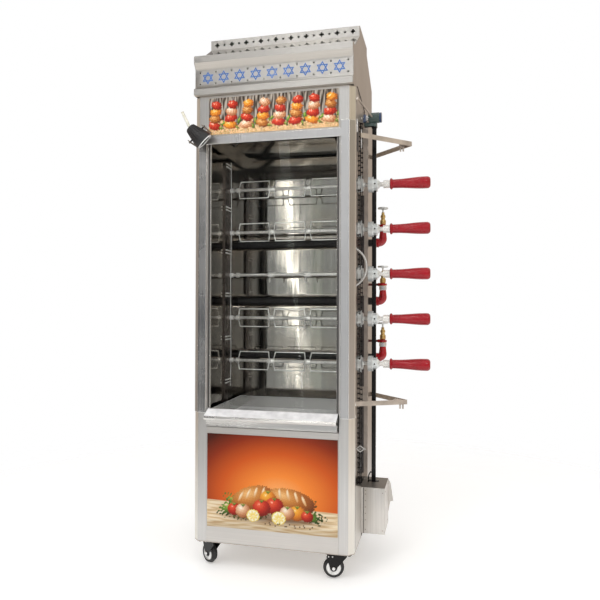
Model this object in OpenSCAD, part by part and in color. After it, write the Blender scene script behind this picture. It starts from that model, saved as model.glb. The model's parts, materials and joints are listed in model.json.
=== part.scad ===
// Upright gas rotisserie oven with five driven spits.
// Millimetres. +Z is up, +Y goes into the cabinet, +X is the drive side.
// The working frame has X = 0 on the cabinet's middle, Y = 0 on its front face and Z = 0 on the floor.

/* [Cabinet] */
// Width of the cabinet over its side panels
cab_w = 600; // [560:5:700]
// Depth of the cabinet from its front face to its back
cab_d = 525; // [505:5:620]
// Height of the cabinet body from its underside to the hood
cab_h = 1642; // [1630:1:1700]
// Sheet thickness of panels and liners
sheet_t = 2; // [1.5:0.1:2.5]
// Width of the chamfer down each front corner
corner_chamfer = 20; // [14:1:26]
// Width of the flat face of each corner post
post_face = 34; // [30:1:38]
// Depth of a corner post from the front face
post_depth = 34; // [30:1:38]
// Depth that the drive bay is set in from the right side
bay_inset = 36; // [32:1:38]
// Thickness of the base plate
base_t = 3; // [2:0.5:4]

/* [Cavity] */
// Height of the cavity floor deck above the cabinet underside
deck_z = 423; // [415:1:425]
// Depth of the cavity ceiling under the cabinet's top
ceiling_drop = 140; // [125:1:146]
// Depth of the cavity from the front face to the reflectors
cavity_d = 370; // [365:1:376]
// Radius of the rolled edge of a reflector
reflector_roll = 14; // [10:1:16]
// Height of a burner slot between two reflectors
burner_slot = 30; // [26:1:34]

/* [Spits] */
// Height of the lowest spit above the cavity floor
spit_low = 222; // [217:1:237]
// Depth of the highest spit under the cavity ceiling
spit_high = 162; // [150:1:176]
// Distance of the spits behind the front face
spit_y = 260; // [250:1:270]
// Diameter of a spit rod inside the cavity
spit_d = 12; // [10:0.5:13]
// Diameter of the driven shaft of a spit
shaft_d = 17; // [15:0.5:18]
// Radial running clearance of shafts in their bearings
run_gap = 0.08; // [0.05:0.01:0.1]
// Half height of a wire basket
basket_r = 36; // [30:1:40]
// Room between the last basket and the drive side's liner
basket_room = 38; // [36:1:50]
// Diameter of the basket wire
wire_d = 4; // [3:0.5:5]
// Length of the turned grip of a handle
handle_l = 153; // [140:1:170]

/* [Drive] */
// Distance of the chain's middle plane from the drive bay's wall
chain_gap = 18; // [17.5:0.1:18.4]
// Number of teeth on a spit sprocket
spit_teeth = 14; // [12:1:16]
// Tip radius of a spit sprocket
sprocket_r = 28; // [26:0.5:29]
// Tip radius of the idler and of the drive sprocket
idler_r = 16; // [15:0.5:18]
// Number of teeth on the idler and on the drive sprocket
idler_teeth = 9; // [8:1:10]
// Depth of the idler shaft under the cabinet's top
idler_drop = 42; // [34:1:52]
// Height of the drive sprocket above the cabinet underside
drive_z = 100; // [95:1:110]
// Radius of a chain roller
roller_r = 4; // [3.5:0.1:4.5]
// Width of the square drive post
post_w = 16; // [14:1:18]
// Thickness of a bearing block along its shaft
block_t = 32; // [28:1:34]
// Height of a bearing block
block_h = 60; // [54:1:64]

/* [Window and tray] */
// Thickness of the window frame
frame_t = 4; // [3:0.5:5]
// Thickness of the glass pane
glass_t = 4; // [3:0.5:5]
// Height of the bottom of the glass above the cabinet underside
glass_low = 492; // [491:1:500]
// Height that the tray's walls stand above its floor
tray_h = 48; // [40:1:50]
// Distance that the tray's lip stands out from the front face
lip_out = 40; // [30:1:50]

/* [Hood] */
// Distance that the hood's side is set in from the cabinet's side
hood_inset = 4; // [0:1:10]
// Distance that the hood stands out from the front face
hood_out = 19; // [12:1:30]
// Height of the hood's front face
hood_front_h = 145; // [140:1:150]
// Number of stars on the fascia
star_count = 9; // [5:1:10]
// Outer radius of a star
star_r = 24; // [18:1:26]
// Height of the vent face
vent_h = 38; // [34:1:44]

/* [Gas] */
// Radius of a burner tube
burner_r = 15; // [12:0.5:16]
// Distance of the burner tubes behind the face of the reflectors
burner_gap = 30; // [28:1:36]
// Height of the gas inlet above the cabinet underside
inlet_rise = 300; // [250:10:400]
// Height of the valve handwheels above their burner
wheel_rise = 141; // [137:1:150]

/* [Casters] */
// Height of the cabinet's underside above the floor
caster_h = 100; // [98:1:110]
// Diameter of a caster wheel
wheel_d = 75; // [70:1:78]
// Width of a caster wheel
wheel_w = 24; // [20:1:28]
// Horizontal offset of a wheel's axle from its swivel
trail = 20; // [18:1:28]

/* [Hidden] */
$fn = 48;
eps = 0.01;
seat = 0.3;                         // gap between pieces that slide or rest on each other

half_w = cab_w / 2;
post_in = half_w - corner_chamfer - post_face;   // half width of the opening between the posts
cab_top = caster_h + cab_h;
base_top = caster_h + base_t;
bay_x = half_w - bay_inset + sheet_t;            // outer face of the drive bay's wall
liner_x = bay_x - sheet_t - 4;                   // outer face of the side liners
back_y = cab_d - sheet_t;
step_y = cavity_d + 4;                           // front of the rear compartment
ceiling_z = cab_h - ceiling_drop;
idler_z = cab_h - idler_drop;
burner_y = cavity_d + burner_gap;
chain_x = bay_x + chain_gap;
hood_w = cab_w - 2 * hood_inset;
flue_half = half_w / 2;

spit_n = 5;
spit_low_z = deck_z + spit_low;
spit_pitch = (ceiling_z - spit_high - spit_low_z) / (spit_n - 1);
spit_zs = [for (i = [0:spit_n - 1]) caster_h + spit_low_z + (spit_n - 1 - i) * spit_pitch];
basket_turn = [-12, 4, 90, 6, -10];              // rest angle of the baskets on each spit
burner_zs = [for (pitches = [2.78, 1.4, 0.07]) caster_h + spit_low_z + pitches * spit_pitch];

// Sideways places along a spit
rest_face = -liner_x + sheet_t + 6;              // face of the rest strip
spit_end = rest_face + 3;
hub_x0 = bay_x + 4;
hub_l = 26;
hub_r = 30;
block_x0 = half_w + 16;
block_x1 = block_x0 + block_t;
cone_l = 11;
ferrule_x0 = block_x1 + cone_l + 15;
ferrule_l = 25;
grip_x0 = ferrule_x0 + ferrule_l;
grip_x1 = grip_x0 + handle_l;

post_y = spit_y + shaft_d / 2 + 2 + post_w / 2;  // middle of the drive post, behind the shafts
post_x = block_x0 + block_t / 2 + 4;
post_base_z = caster_h + 24;
head_z = caster_h + idler_z - 8;

// Motor cover
cover_y0 = spit_y - 75;
cover_y1 = spit_y + 70;
cover_x1 = half_w + 88;
cover_z0 = caster_h + 15;
cover_z1 = caster_h + 187;

// Lamp
lamp_pivot = [-half_w + 36, -62, caster_h + ceiling_z - 18];
lamp_tilt = 18;
lamp_len = 36;
sleeve_r = 5;
sleeve_a = [-lamp_len + 1, 0, 0];
sleeve_b = [-lamp_len - 54, 0, 22];

// A vector of the lamp's own frame, turned by the lamp's tilt and by its mounting angle of 45 degrees
function lamp_dir(v) = let (x = v.x * cos(lamp_tilt) - v.y * sin(lamp_tilt), y = v.x * sin(lamp_tilt) + v.y * cos(lamp_tilt))
  [(x + v.z) * sqrt(0.5), y, (v.z - x) * sqrt(0.5)];
sleeve_d = lamp_dir(sleeve_b - sleeve_a) / norm(sleeve_b - sleeve_a);

// Whole extent, which puts the origin at the middle of the underside
inlet_out = 30;                      // length of the gas inlet behind the back panel
x_lo = lamp_pivot.x + lamp_dir(sleeve_b).x - sleeve_r * sqrt(1 - sleeve_d.x * sleeve_d.x);
x_hi = grip_x1;
y_lo = lamp_pivot.y + lamp_dir(sleeve_b).y - sleeve_r * sqrt(1 - sleeve_d.y * sleeve_d.y);
y_hi = cab_d + inlet_out;
origin = [(x_lo + x_hi) / 2, (y_lo + y_hi) / 2, 0];

// ---------- helpers ----------

module placed(tint) color(tint) translate(-origin) children();

// Left-hand unit normal of the step from a to b
function left_normal(a, b) = let (d = b - a) [-d.y, d.x] / norm(d);

// Corner i of a bent strip, moved sideways by t with a mitre
function mitred(p, i, t) =
  i == 0 ? p[0] + t * left_normal(p[0], p[1])
  : i == len(p) - 1 ? p[i] + t * left_normal(p[i - 1], p[i])
  : let (n1 = left_normal(p[i - 1], p[i]), n2 = left_normal(p[i], p[i + 1]))
    p[i] + t * (n1 + n2) / (1 + n1 * n2);

function strip(p, t) = concat(p, [for (i = [len(p) - 1:-1:0]) mitred(p, i, t)]);

// A folded sheet standing on the XY plane
module folded(p, t, h) linear_extrude(h) polygon(strip(p, t));

// A folded sheet whose profile lies in Y and Z and which runs along X
module folded_along_x(p, t, x0, x1)
  translate([x0, 0, 0]) rotate([90, 0, 90]) linear_extrude(x1 - x0) polygon(strip(p, t));

module block(lo, hi) translate(lo) cube(hi - lo);

module rod_x(x0, x1, y, z, r) translate([x0, y, z]) rotate([0, 90, 0]) cylinder(h = x1 - x0, r = r);
module rod_y(y0, y1, x, z, r) translate([x, y0, z]) rotate([-90, 0, 0]) cylinder(h = y1 - y0, r = r);

// A wire or bar between two points
module bar(a, b, r) {
  d = b - a;
  translate(a) rotate([0, acos(d.z / norm(d)), atan2(d.y, d.x)]) cylinder(h = norm(d), r = r, $fn = 24);
}

// Points of an arc
function arc(c, r, a0, a1, n) = [for (i = [0:n]) c + r * [cos(a0 + (a1 - a0) * i / n), sin(a0 + (a1 - a0) * i / n)]];

// ---------- cabinet ----------

// Path of a right-hand corner post, from its inner return round to the side
post_path = [[post_in, post_depth], [post_in, 0], [post_in + post_face, 0],
             [half_w, corner_chamfer], [half_w, post_depth]];

module post() translate([0, 0, base_top]) folded(post_path, sheet_t, cab_h - base_t - sheet_t);

module corner_posts() placed("silver") {
  post();
  mirror([1, 0, 0]) post();
}

module left_side_panel() placed("silver")
  translate([0, 0, base_top])
    folded([[-half_w + 20, post_depth], [-half_w, post_depth], [-half_w, back_y], [-half_w + 20, back_y]],
           -sheet_t, cab_h - base_t - sheet_t);

// Wall of the drive bay with its shaft holes, the bay's rear step and the rear compartment's side
module right_side_panel() placed("silver") difference() {
  translate([0, 0, base_top])
    folded([[half_w, post_depth + sheet_t], [bay_x, post_depth + sheet_t], [bay_x, step_y],
            [half_w, step_y], [half_w, back_y], [half_w - 20, back_y]],
           sheet_t, cab_h - base_t - sheet_t);
  for (z = spit_zs) rod_x(bay_x - 10, bay_x + 10, spit_y, z, shaft_d / 2 + 3);
  for (z = burner_zs) {
    rod_x(half_w - 10, half_w + 10, burner_y, z, burner_r + seat);
    rod_x(half_w - 10, half_w + 10, burner_y, z + feed_rise, feed_r + seat);
  }
}

// Back panel with two fields of louvre slots over the burner compartment
module back_panel() placed("silver") difference() {
  block([-half_w, back_y, base_top], [half_w, cab_d, cab_top - sheet_t]);
  for (low = [deck_z + 137, ceiling_z - 322], row = [0:6], side = [-1, 1])
    translate([side * 0.4 * half_w, cab_d, caster_h + low + row * 34])
      cube([0.57 * half_w, 3 * sheet_t, 10], center = true);
  rod_y(back_y - 5, cab_d + 5, manifold_x, inlet_z, shoulder_r + seat);
}

footprint = [[-half_w, corner_chamfer], [-half_w + corner_chamfer, 0], [half_w - corner_chamfer, 0],
             [half_w, corner_chamfer], [half_w, cab_d], [-half_w, cab_d]];

module base_plate() placed("silver") translate([0, 0, caster_h]) linear_extrude(base_t) polygon(footprint);

// Top panel with the flue opening into the hood
module top_panel() placed("silver") difference() {
  translate([0, 0, cab_top - sheet_t]) linear_extrude(sheet_t) polygon(footprint);
  block([-flue_half, spit_y - 80, cab_top - 10], [flue_half, spit_y + 70, cab_top + 10]);
}

tray_half = post_in - 6;
tray_floor = caster_h + deck_z + 15;
runner_z = tray_floor - seat;

module liner() block([-liner_x, post_depth + 2, caster_h + deck_z + sheet_t],
                     [-liner_x + sheet_t, cavity_d, caster_h + ceiling_z]);

// Angle runner that carries the tray, on the liner's inner face
module tray_runner() {
  y0 = post_depth + 2;
  y1 = cavity_d - 5;
  x0 = -liner_x + sheet_t;
  block([x0, y0, runner_z - sheet_t], [-tray_half + 20, y1, runner_z]);
  block([x0, y0, runner_z - 12], [x0 + sheet_t, y1, runner_z - sheet_t + eps]);
}

module side_liners() placed("gainsboro") {
  liner();
  tray_runner();
  mirror([1, 0, 0]) tray_runner();
  difference() {
    mirror([1, 0, 0]) liner();
    for (z = spit_zs) rod_x(liner_x - 10, liner_x + 10, spit_y, z, shaft_d / 2 + 3);
  }
}

// Outline of the decks, notched round the inner returns of the corner posts
deck_outline = [[-liner_x, post_depth + 2], [-post_in, post_depth + 2], [-post_in, 14], [post_in, 14],
                [post_in, post_depth + 2], [liner_x, post_depth + 2], [liner_x, cavity_d], [-liner_x, cavity_d]];

module deck(z) translate([0, 0, z]) linear_extrude(sheet_t) polygon(deck_outline);

// Floor deck under the tray and ceiling with its flue opening
module cavity_decks() placed("gainsboro") {
  deck(caster_h + deck_z);
  difference() {
    deck(caster_h + ceiling_z);
    block([-flue_half, spit_y - 60, caster_h + ceiling_z - 10], [flue_half, spit_y + 60, caster_h + ceiling_z + 10]);
  }
}

// Polished sheet from z0 to z1 whose upper and lower edges roll back beside the burner slots
module reflector(z0, z1, roll_low, roll_high) {
  y = cavity_d + reflector_roll;
  low = roll_low ? arc([y, z0 + reflector_roll], reflector_roll, 270, 180, 8) : [[cavity_d, z0]];
  high = roll_high ? arc([y, z1 - reflector_roll], reflector_roll, 180, 90, 8) : [[cavity_d, z1]];
  folded_along_x(concat(low, high), -sheet_t, -liner_x, liner_x);
}

module reflectors() placed("gainsboro") {
  gap = burner_slot / 2;
  reflector(burner_zs[0] + gap, caster_h + ceiling_z + sheet_t, true, false);
  reflector(burner_zs[1] + gap, burner_zs[0] - gap, true, true);
  reflector(burner_zs[2] + gap, burner_zs[1] - gap, true, true);
  reflector(caster_h + deck_z + sheet_t, burner_zs[2] - gap, false, true);
}

// Strip on the left liner with a socket for each spit's end and pairs of rest bars between them
module spit_rest() placed("gainsboro") {
  x0 = -liner_x + sheet_t;
  difference() {
    union() {
      block([x0, spit_y - 62, caster_h + deck_z + 57], [rest_face, spit_y + 22, caster_h + ceiling_z - 52]);
      for (z = spit_zs) rod_x(rest_face - eps, spit_end + 10, spit_y, z, spit_d / 2 + 3);
      for (i = [0:spit_n]) for (side = [-1, 1])
        let (z = caster_h + spit_low_z + (i - 0.5) * spit_pitch + 6 + side * 6) {
          bar([rest_face + 4, spit_y - 60, z], [rest_face + 4, spit_y - 4, z], 2.5);
          rod_x(rest_face - 1, rest_face + 4, spit_y - 56, z, 1.8);
          rod_x(rest_face - 1, rest_face + 4, spit_y - 8, z, 1.8);
        }
    }
    for (z = spit_zs) rod_x(spit_end - seat, spit_end + 20, spit_y, z, spit_d / 2 + run_gap);
  }
}

// ---------- tray, front and window ----------

// Front lip of the tray, from the pan forward, down over the rolled nose and back under it
lip_path = [[14, tray_floor + tray_h], [2, tray_floor + tray_h + 3], [-lip_out + 2, tray_floor + 31],
            [-lip_out - 2, tray_floor + 24], [-lip_out + 2, tray_floor + 17], [-16, tray_floor + 13],
            [-16, tray_floor - 10], [-4, tray_floor - 10]];

module drip_tray() placed("gainsboro") {
  y0 = 14;
  y1 = cavity_d - 10;
  difference() {
    block([-tray_half, y0, tray_floor], [tray_half, y1, tray_floor + tray_h]);
    block([-tray_half + sheet_t, y0 + sheet_t, tray_floor + sheet_t],
          [tray_half - sheet_t, y1 - sheet_t, tray_floor + tray_h + 1]);
  }
  folded_along_x(lip_path, sheet_t, -tray_half - 3, tray_half + 3);
}

panel_half = post_in;

module lower_front_panel() placed("silver")
  folded_along_x([[20, caster_h + deck_z], [0, caster_h + deck_z], [0, base_top], [20, base_top]],
                 sheet_t, -panel_half, panel_half);

module header_panel() placed("silver")
  block([-panel_half, 0, frame_z1], [panel_half, sheet_t, cab_top - sheet_t]);

module picture_plates() placed("orange") {
  half = panel_half - 3;
  block([-half, -1.5, caster_h + 60], [half, 0, caster_h + deck_z - 24]);
  block([-half, -1.5, frame_z1 + 5], [half, 0, cab_top - 10]);
}

frame_in = post_in + 4;
frame_z0 = caster_h + deck_z + 51;
frame_z1 = caster_h + ceiling_z - 10;
guide_in = post_in - 10;
pane_y = 6;
pane_half = post_in - 4;

// Channel on a post's inner face that guides one edge of the glass
module glass_guide() difference() {
  block([guide_in, pane_y - 2.5, caster_h + glass_low - 2], [post_in, pane_y + glass_t + 2.5, cab_top - sheet_t]);
  block([guide_in - 1, pane_y - seat, caster_h + glass_low - seat], [pane_half + seat, pane_y + glass_t + seat, cab_top]);
}

// Stile that lies on the post's flat and turns back along its chamfer
stile_ext = 28;                     // length of a stile above the top rail
turn_y = corner_chamfer - 3;
module stile() translate([0, 0, frame_z0]) linear_extrude(frame_z1 + stile_ext - frame_z0)
  polygon([[frame_in, 0], [half_w - corner_chamfer, 0], [half_w - corner_chamfer + turn_y, turn_y],
           [half_w - corner_chamfer + turn_y + frame_t * sqrt(0.5), turn_y - frame_t * sqrt(0.5)],
           [half_w - corner_chamfer + frame_t * tan(22.5), -frame_t], [frame_in, -frame_t]]);

module window_frame() placed("silver") {
  stile();
  mirror([1, 0, 0]) stile();
  block([-frame_in - eps, -frame_t, frame_z1 - 30], [frame_in + eps, 0, frame_z1]);
  glass_guide();
  mirror([1, 0, 0]) glass_guide();
}

module window_glass() placed([0.8, 0.9, 0.9, 0.3])
  block([-pane_half, pane_y, caster_h + glass_low], [pane_half, pane_y + glass_t, frame_z1 - 22]);

// ---------- hood ----------

hood_z = cab_top;
hood_half = hood_w / 2;
band = 24;                          // height of the plain band above and below the star panel
recess = 14;                        // depth that the star panel is set back
slope_y = 22;
vent_y = 148;
hood_top = hood_z + 273;
slope_end_z = hood_top - vent_h;
front_top = hood_z + hood_front_h;

top_back_y = cab_d - 173;            // back edge of the hood's flat top
fascia_path = [[0, hood_z], [-hood_out, hood_z], [-hood_out, hood_z + band - 1], [-hood_out + recess, hood_z + band + 7],
               [-hood_out + recess, front_top - band - 21], [-hood_out, front_top - band - 1],
               [-hood_out, front_top], [slope_y, front_top], [vent_y, slope_end_z]];
shell_path = [[vent_y, hood_top], [top_back_y, hood_top], [top_back_y, hood_top - 30], [cab_d, hood_z + 155], [cab_d, hood_z]];

star_mid_z = (hood_z + band + 7 + front_top - band - 21) / 2;
star_pitch = (hood_w - 38.5) / star_count;
vent_pitch = (hood_w - 22) / 19;
star_y = -hood_out + recess;
function star_x(i) = (i - (star_count - 1) / 2) * star_pitch;

module hood_fascia() placed("silver") difference() {
  folded_along_x(fascia_path, -sheet_t, -hood_half + sheet_t, hood_half - sheet_t);
  for (i = [0:star_count]) for (side = [-1, 1])
    rod_y(star_y - 5, star_y + 5, star_x(i - 0.5), star_mid_z + side * 21, 3);
}

module hood_side() translate([hood_half - sheet_t, 0, 0]) rotate([90, 0, 90]) linear_extrude(sheet_t)
  polygon(concat(fascia_path, shell_path));

module hood_shell() placed("silver") {
  folded_along_x(shell_path, -sheet_t, -hood_half, hood_half);
  hood_side();
  mirror([1, 0, 0]) hood_side();
}

// Outline triangle of a star, cut to a band
module star_triangle() difference() {
  circle(r = star_r, $fn = 3);
  circle(r = star_r - 7, $fn = 3);
}

module star_trim() placed("royalblue")
  for (i = [0:star_count - 1])
    translate([star_x(i), star_y, star_mid_z]) rotate([90, 90, 0]) linear_extrude(0.8) {
      star_triangle();
      rotate(60) star_triangle();
    }

// Vent face with plus-shaped holes and round holes in turn
module vent_grille() placed("silver") difference() {
  folded_along_x([[vent_y + 14, slope_end_z], [vent_y, slope_end_z], [vent_y, hood_top - sheet_t],
                  [vent_y + 14, hood_top - sheet_t]], -sheet_t, -hood_half + sheet_t, hood_half - sheet_t);
  for (i = [0:18]) translate([(i - 9) * vent_pitch, vent_y, (slope_end_z + hood_top) / 2])
    if (i % 2 == 0) {
      cube([18, 10, 6], center = true);
      cube([6, 10, 18], center = true);
    } else rotate([90, 0, 0]) cylinder(h = 10, r = 4, center = true);
}

// ---------- gas side ----------

feed_rise = 68;
feed_r = 5;
valve_x = half_w + 58;
manifold_x = half_w - 50;
manifold_y = burner_y + 55;
inlet_z = caster_h + inlet_rise;
slot_pitch = (cab_w - 140) / 20;
inlet_r = 10.65;
shoulder_r = 14;

// Burner tube with a row of flame slots towards the cavity
module burner_tubes() placed("dimgray") for (z = burner_zs) difference() {
  union() {
    rod_x(-half_w + sheet_t, half_w + 22, burner_y, z, burner_r);
    rod_x(-half_w + sheet_t, -half_w + sheet_t + 6, burner_y, z, burner_r + 6);
  }
  rod_x(-half_w + 12, half_w + 30, burner_y, z, burner_r - 2.5);
  for (i = [0:19]) translate([-half_w + 82 + i * slot_pitch, burner_y - burner_r, z]) cube([14, 12, 3], center = true);
}

module gas_manifold() placed("darkred") {
  translate([manifold_x, manifold_y, inlet_z]) cylinder(h = burner_zs[0] + feed_rise - inlet_z + 30, r = 13);
  rod_y(manifold_y, cab_d + 4, manifold_x, inlet_z, shoulder_r);
  rod_y(cab_d + 4 - eps, cab_d + inlet_out, manifold_x, inlet_z, inlet_r);
  for (z = burner_zs) {
    rod_x(manifold_x, valve_x - 20, burner_y, z + feed_rise, feed_r);
    rod_y(burner_y, manifold_y, manifold_x, z + feed_rise, feed_r);
    translate([manifold_x, burner_y, z + feed_rise]) sphere(r = feed_r);
  }
}

nut_rise = 46;                      // height of a valve's union nut above the burner's axis
stem_rise = 92;                     // height of the foot of a valve's stem above the burner's axis

// Cast elbow that turns the burner tube up to its valve
module venturi_elbow(z) translate([0, burner_y, z]) difference() {
  bend = 17;
  union() {
    translate([valve_x - bend, 0, bend]) rotate([90, 0, 0]) rotate_extrude(angle = -90) translate([bend, 0]) circle(r = 16);
    rod_x(half_w + 22 + seat, valve_x - bend + eps, 0, 0, 19);
    translate([valve_x, 0, bend - eps]) cylinder(h = nut_rise - 1 - bend, r1 = 16, r2 = 13);
  }
  translate([valve_x, 0, bend]) cylinder(h = nut_rise, r = 8);
}

module venturi_elbows() placed("crimson") for (z = burner_zs) venturi_elbow(z);

// Needle valve: hexagonal union nut, inlet flange with its boss, body and bonnet
module valve_body(z) translate([valve_x, burner_y, z + nut_rise]) difference() {
  union() {
    cylinder(h = 16, r = 15, $fn = 6);
    translate([0, 0, 16 - eps]) rotate_extrude() polygon([[0, 0], [11, 0], [11, 2], [16.5, 2], [16.5, 10], [9, 10], [12, 16],
                                                    [12, 28], [8, 34], [8, 40], [10, 41], [10, 48], [6, 54], [6, 62], [0, 62]]);
    rod_x(-20, 0, 0, feed_rise - nut_rise, 7);
  }
  translate([0, 0, stem_rise - nut_rise - 1]) cylinder(h = 60, r = 3 + run_gap);
}

module valve_bodies() placed("goldenrod") for (z = burner_zs) valve_body(z);

// Handwheel: stem, hub, four spokes and a rim
module handwheel(z) placed("lightgray") translate([valve_x, burner_y, z + wheel_rise]) {
  rotate_extrude() translate([18, 0]) circle(r = 3.5, $fn = 24);
  for (a = [0:90:270]) rotate(a) rod_x(4, 17, 0, 0, 2.2);
  translate([0, 0, -5]) cylinder(h = 10, r = 6);
  translate([0, 0, stem_rise - wheel_rise]) cylinder(h = wheel_rise - stem_rise, r = 3);
}

module handwheel_1() handwheel(burner_zs[0]);
module handwheel_2() handwheel(burner_zs[1]);
module handwheel_3() handwheel(burner_zs[2]);

// ---------- spits ----------

collar_l = 12;
tooth_w = 4.6;                      // thickness of the sprockets' teeth
basket_x0 = spit_end + 24;
basket_gap = 1.5;
basket_l = (liner_x - basket_room - basket_x0 - 2 * basket_gap) / 3;

// Toothed disc with n teeth of tip radius r, thickness w, on the X axis
module toothed(n, r, w) rotate([0, 90, 0]) linear_extrude(w, center = true) difference() {
  circle(r = r);
  for (i = [0:n - 1]) rotate(i * 360 / n) translate([r + 0.6, 0]) circle(r = r * 3.14159 / n * 0.62, $fn = 16);
}

module spit(i) placed("gainsboro") translate([0, spit_y, spit_zs[i]]) {
  // rod and driven shaft
  rotate([0, 90, 0]) rotate_extrude()
    polygon([[0, spit_end], [spit_d / 2 - 3, spit_end], [spit_d / 2, spit_end + 4], [spit_d / 2, liner_x - 20],
             [shaft_d / 2, liner_x - 14], [shaft_d / 2, ferrule_x0 + 10], [0, ferrule_x0 + 10]]);
  // hub sprocket
  difference() {
    union() {
      translate([chain_x, 0, 0]) toothed(spit_teeth, sprocket_r, tooth_w);
      translate([hub_x0, 0, 0]) rotate([0, 90, 0]) rotate_extrude()
        polygon([[0, 0], [hub_r - 5, 0], [hub_r, 2], [hub_r, chain_gap - 11.5], [20, chain_gap - 9.5], [20, hub_l - 6],
                 [hub_r - 6, hub_l - 5], [hub_r - 6, hub_l - 1.5], [hub_r - 8, hub_l], [0, hub_l]]);
    }
    rod_x(hub_x0 - 5, hub_x0 + hub_l + 5, 0, 0, shaft_d / 2 + 0.05);
  }
  // cone collar beside the bearing block
  difference() {
    translate([block_x1 + seat, 0, 0]) rotate([0, 90, 0]) rotate_extrude()
      polygon([[shaft_d / 2 + 0.05, 0], [18, 0], [18, 4], [12, cone_l], [shaft_d / 2 + 0.05, cone_l]]);
    translate([block_x1 + 6, 0, 0]) cylinder(h = 30, r = 2.5);
  }
  // ferrule
  difference() {
    rod_x(ferrule_x0, grip_x0, 0, 0, 15);
    rod_x(ferrule_x0 - 1, ferrule_x0 + 10 + 0.05, 0, 0, shaft_d / 2 + 0.05);
  }
}

module spit_1() spit(0);
module spit_2() spit(1);
module spit_3() spit(2);
module spit_4() spit(3);
module spit_5() spit(4);

// One wire basket: a clamp collar at each end and a square loop on either side of the rod
module basket() {
  r = wire_d / 2;
  difference() {
    union() {
      for (x = [0, basket_l - collar_l]) rod_x(x, x + collar_l, 0, 0, spit_d / 2 + 4);
      for (side = [-1, 1]) {
        a = [collar_l - 3, 0, side * (spit_d / 2 + 2)];
        b = [collar_l + 3, 0, side * basket_r];
        c = [basket_l - collar_l, 0, side * basket_r];
        d = [basket_l - collar_l + 4, 0, side * (spit_d / 2 + 2)];
        bar(a, b, r);
        bar(b, c, r);
        bar(c, d, r);
        for (p = [b, c]) translate(p) sphere(r = r, $fn = 24);
      }
      // thumbscrew with its ring
      translate([basket_l - collar_l / 2, 0, 0]) rotate([90, 0, 0]) cylinder(h = 17, r = 2.5);
      translate([basket_l - collar_l / 2, -22, 0]) rotate([0, 90, 0]) rotate_extrude() translate([6, 0]) circle(r = 1.5, $fn = 16);
    }
    rod_x(-1, basket_l + 1, 0, 0, spit_d / 2 + 0.1);
  }
}

module baskets(i) placed("gainsboro") translate([0, spit_y, spit_zs[i]]) rotate([basket_turn[i], 0, 0])
  for (k = [0:2]) translate([basket_x0 + k * (basket_l + basket_gap), 0, 0]) basket();

module baskets_1() baskets(0);
module baskets_2() baskets(1);
module baskets_3() baskets(2);
module baskets_4() baskets(3);
module baskets_5() baskets(4);

// Turned grip: collar bead, neck and swelling to a rounded end
module handle(i) placed("firebrick") translate([grip_x0, spit_y, spit_zs[i]]) rotate([0, 90, 0]) rotate_extrude()
  polygon(concat([[0, 0], [17, 0]], arc([17.5, 5], 4.2, -80, 80, 6), [[16.5, 11], [17, 24]],
                 [for (t = [0:0.1:1]) [17 + 5.8 * sin(90 * t) * sin(90 * t), 24 + (handle_l - 46) * t]],
                 arc([10.8, handle_l - 12], 12, 0, 90, 6), [[0, handle_l]]));

module handle_1() handle(0);
module handle_2() handle(1);
module handle_3() handle(2);
module handle_4() handle(3);
module handle_5() handle(4);

// ---------- drive ----------

// Cast block that clamps the post and carries one spit's shaft
module bearing_block(z) difference() {
  union() {
    block([block_x0, spit_y, z - block_h / 2 + 8], [block_x1, post_y + post_w / 2 + 6, z + block_h / 2 - 8]);
    rod_x(block_x0, block_x0 + 19, spit_y, z, block_h / 2);
    rod_x(block_x0 + 19 - eps, block_x1, spit_y, z, 21, $fn = 8);
  }
  rod_x(block_x0 - 5, block_x1 + 5, spit_y, z, shaft_d / 2 + run_gap);
  rod_y(spit_y - 30, spit_y - 13, block_x1 - 6, z, 2.8);
  block([post_x - post_w / 2 - 0.05, post_y - post_w / 2 - 0.05, z - 50], [post_x + post_w / 2 + 0.05, post_y + post_w / 2 + 0.05, z + 50]);
}

module bearing_blocks() placed("lightgray") for (z = spit_zs) bearing_block(z);

module drive_post() placed([0.08, 0.08, 0.09]) {
  difference() {
    block([post_x - post_w / 2, post_y - post_w / 2, post_base_z], [post_x + post_w / 2, post_y + post_w / 2, head_z - 26]);
    block([post_x - post_w / 2 + 2, post_y - post_w / 2 + 2, post_base_z + 5], [post_x + post_w / 2 - 2, post_y + post_w / 2 - 2, head_z - 40]);
  }
  // foot bolted to the bay's wall
  block([bay_x, post_y + 10, post_base_z - 4], [post_x + post_w / 2, post_y + 14, post_base_z + 40]);
  block([bay_x, post_y - 12, post_base_z - 4], [post_x + post_w / 2, post_y + 14, post_base_z]);
  // head housing for the idler shaft
  difference() {
    union() {
      rod_x(block_x0, block_x1 + 10, spit_y, head_z + 8, 20);
      block([post_x - post_w / 2 - 3, spit_y, head_z - 26], [post_x + post_w / 2 + 3, post_y + post_w / 2, head_z - 6]);
      block([block_x0 - 18, spit_y - 2, head_z - 24], [post_x, spit_y + 14, head_z - 8]);
    }
    rod_x(block_x0 - 5, block_x1 + 20, spit_y, head_z + 8, 6 + run_gap);
  }
}

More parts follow.
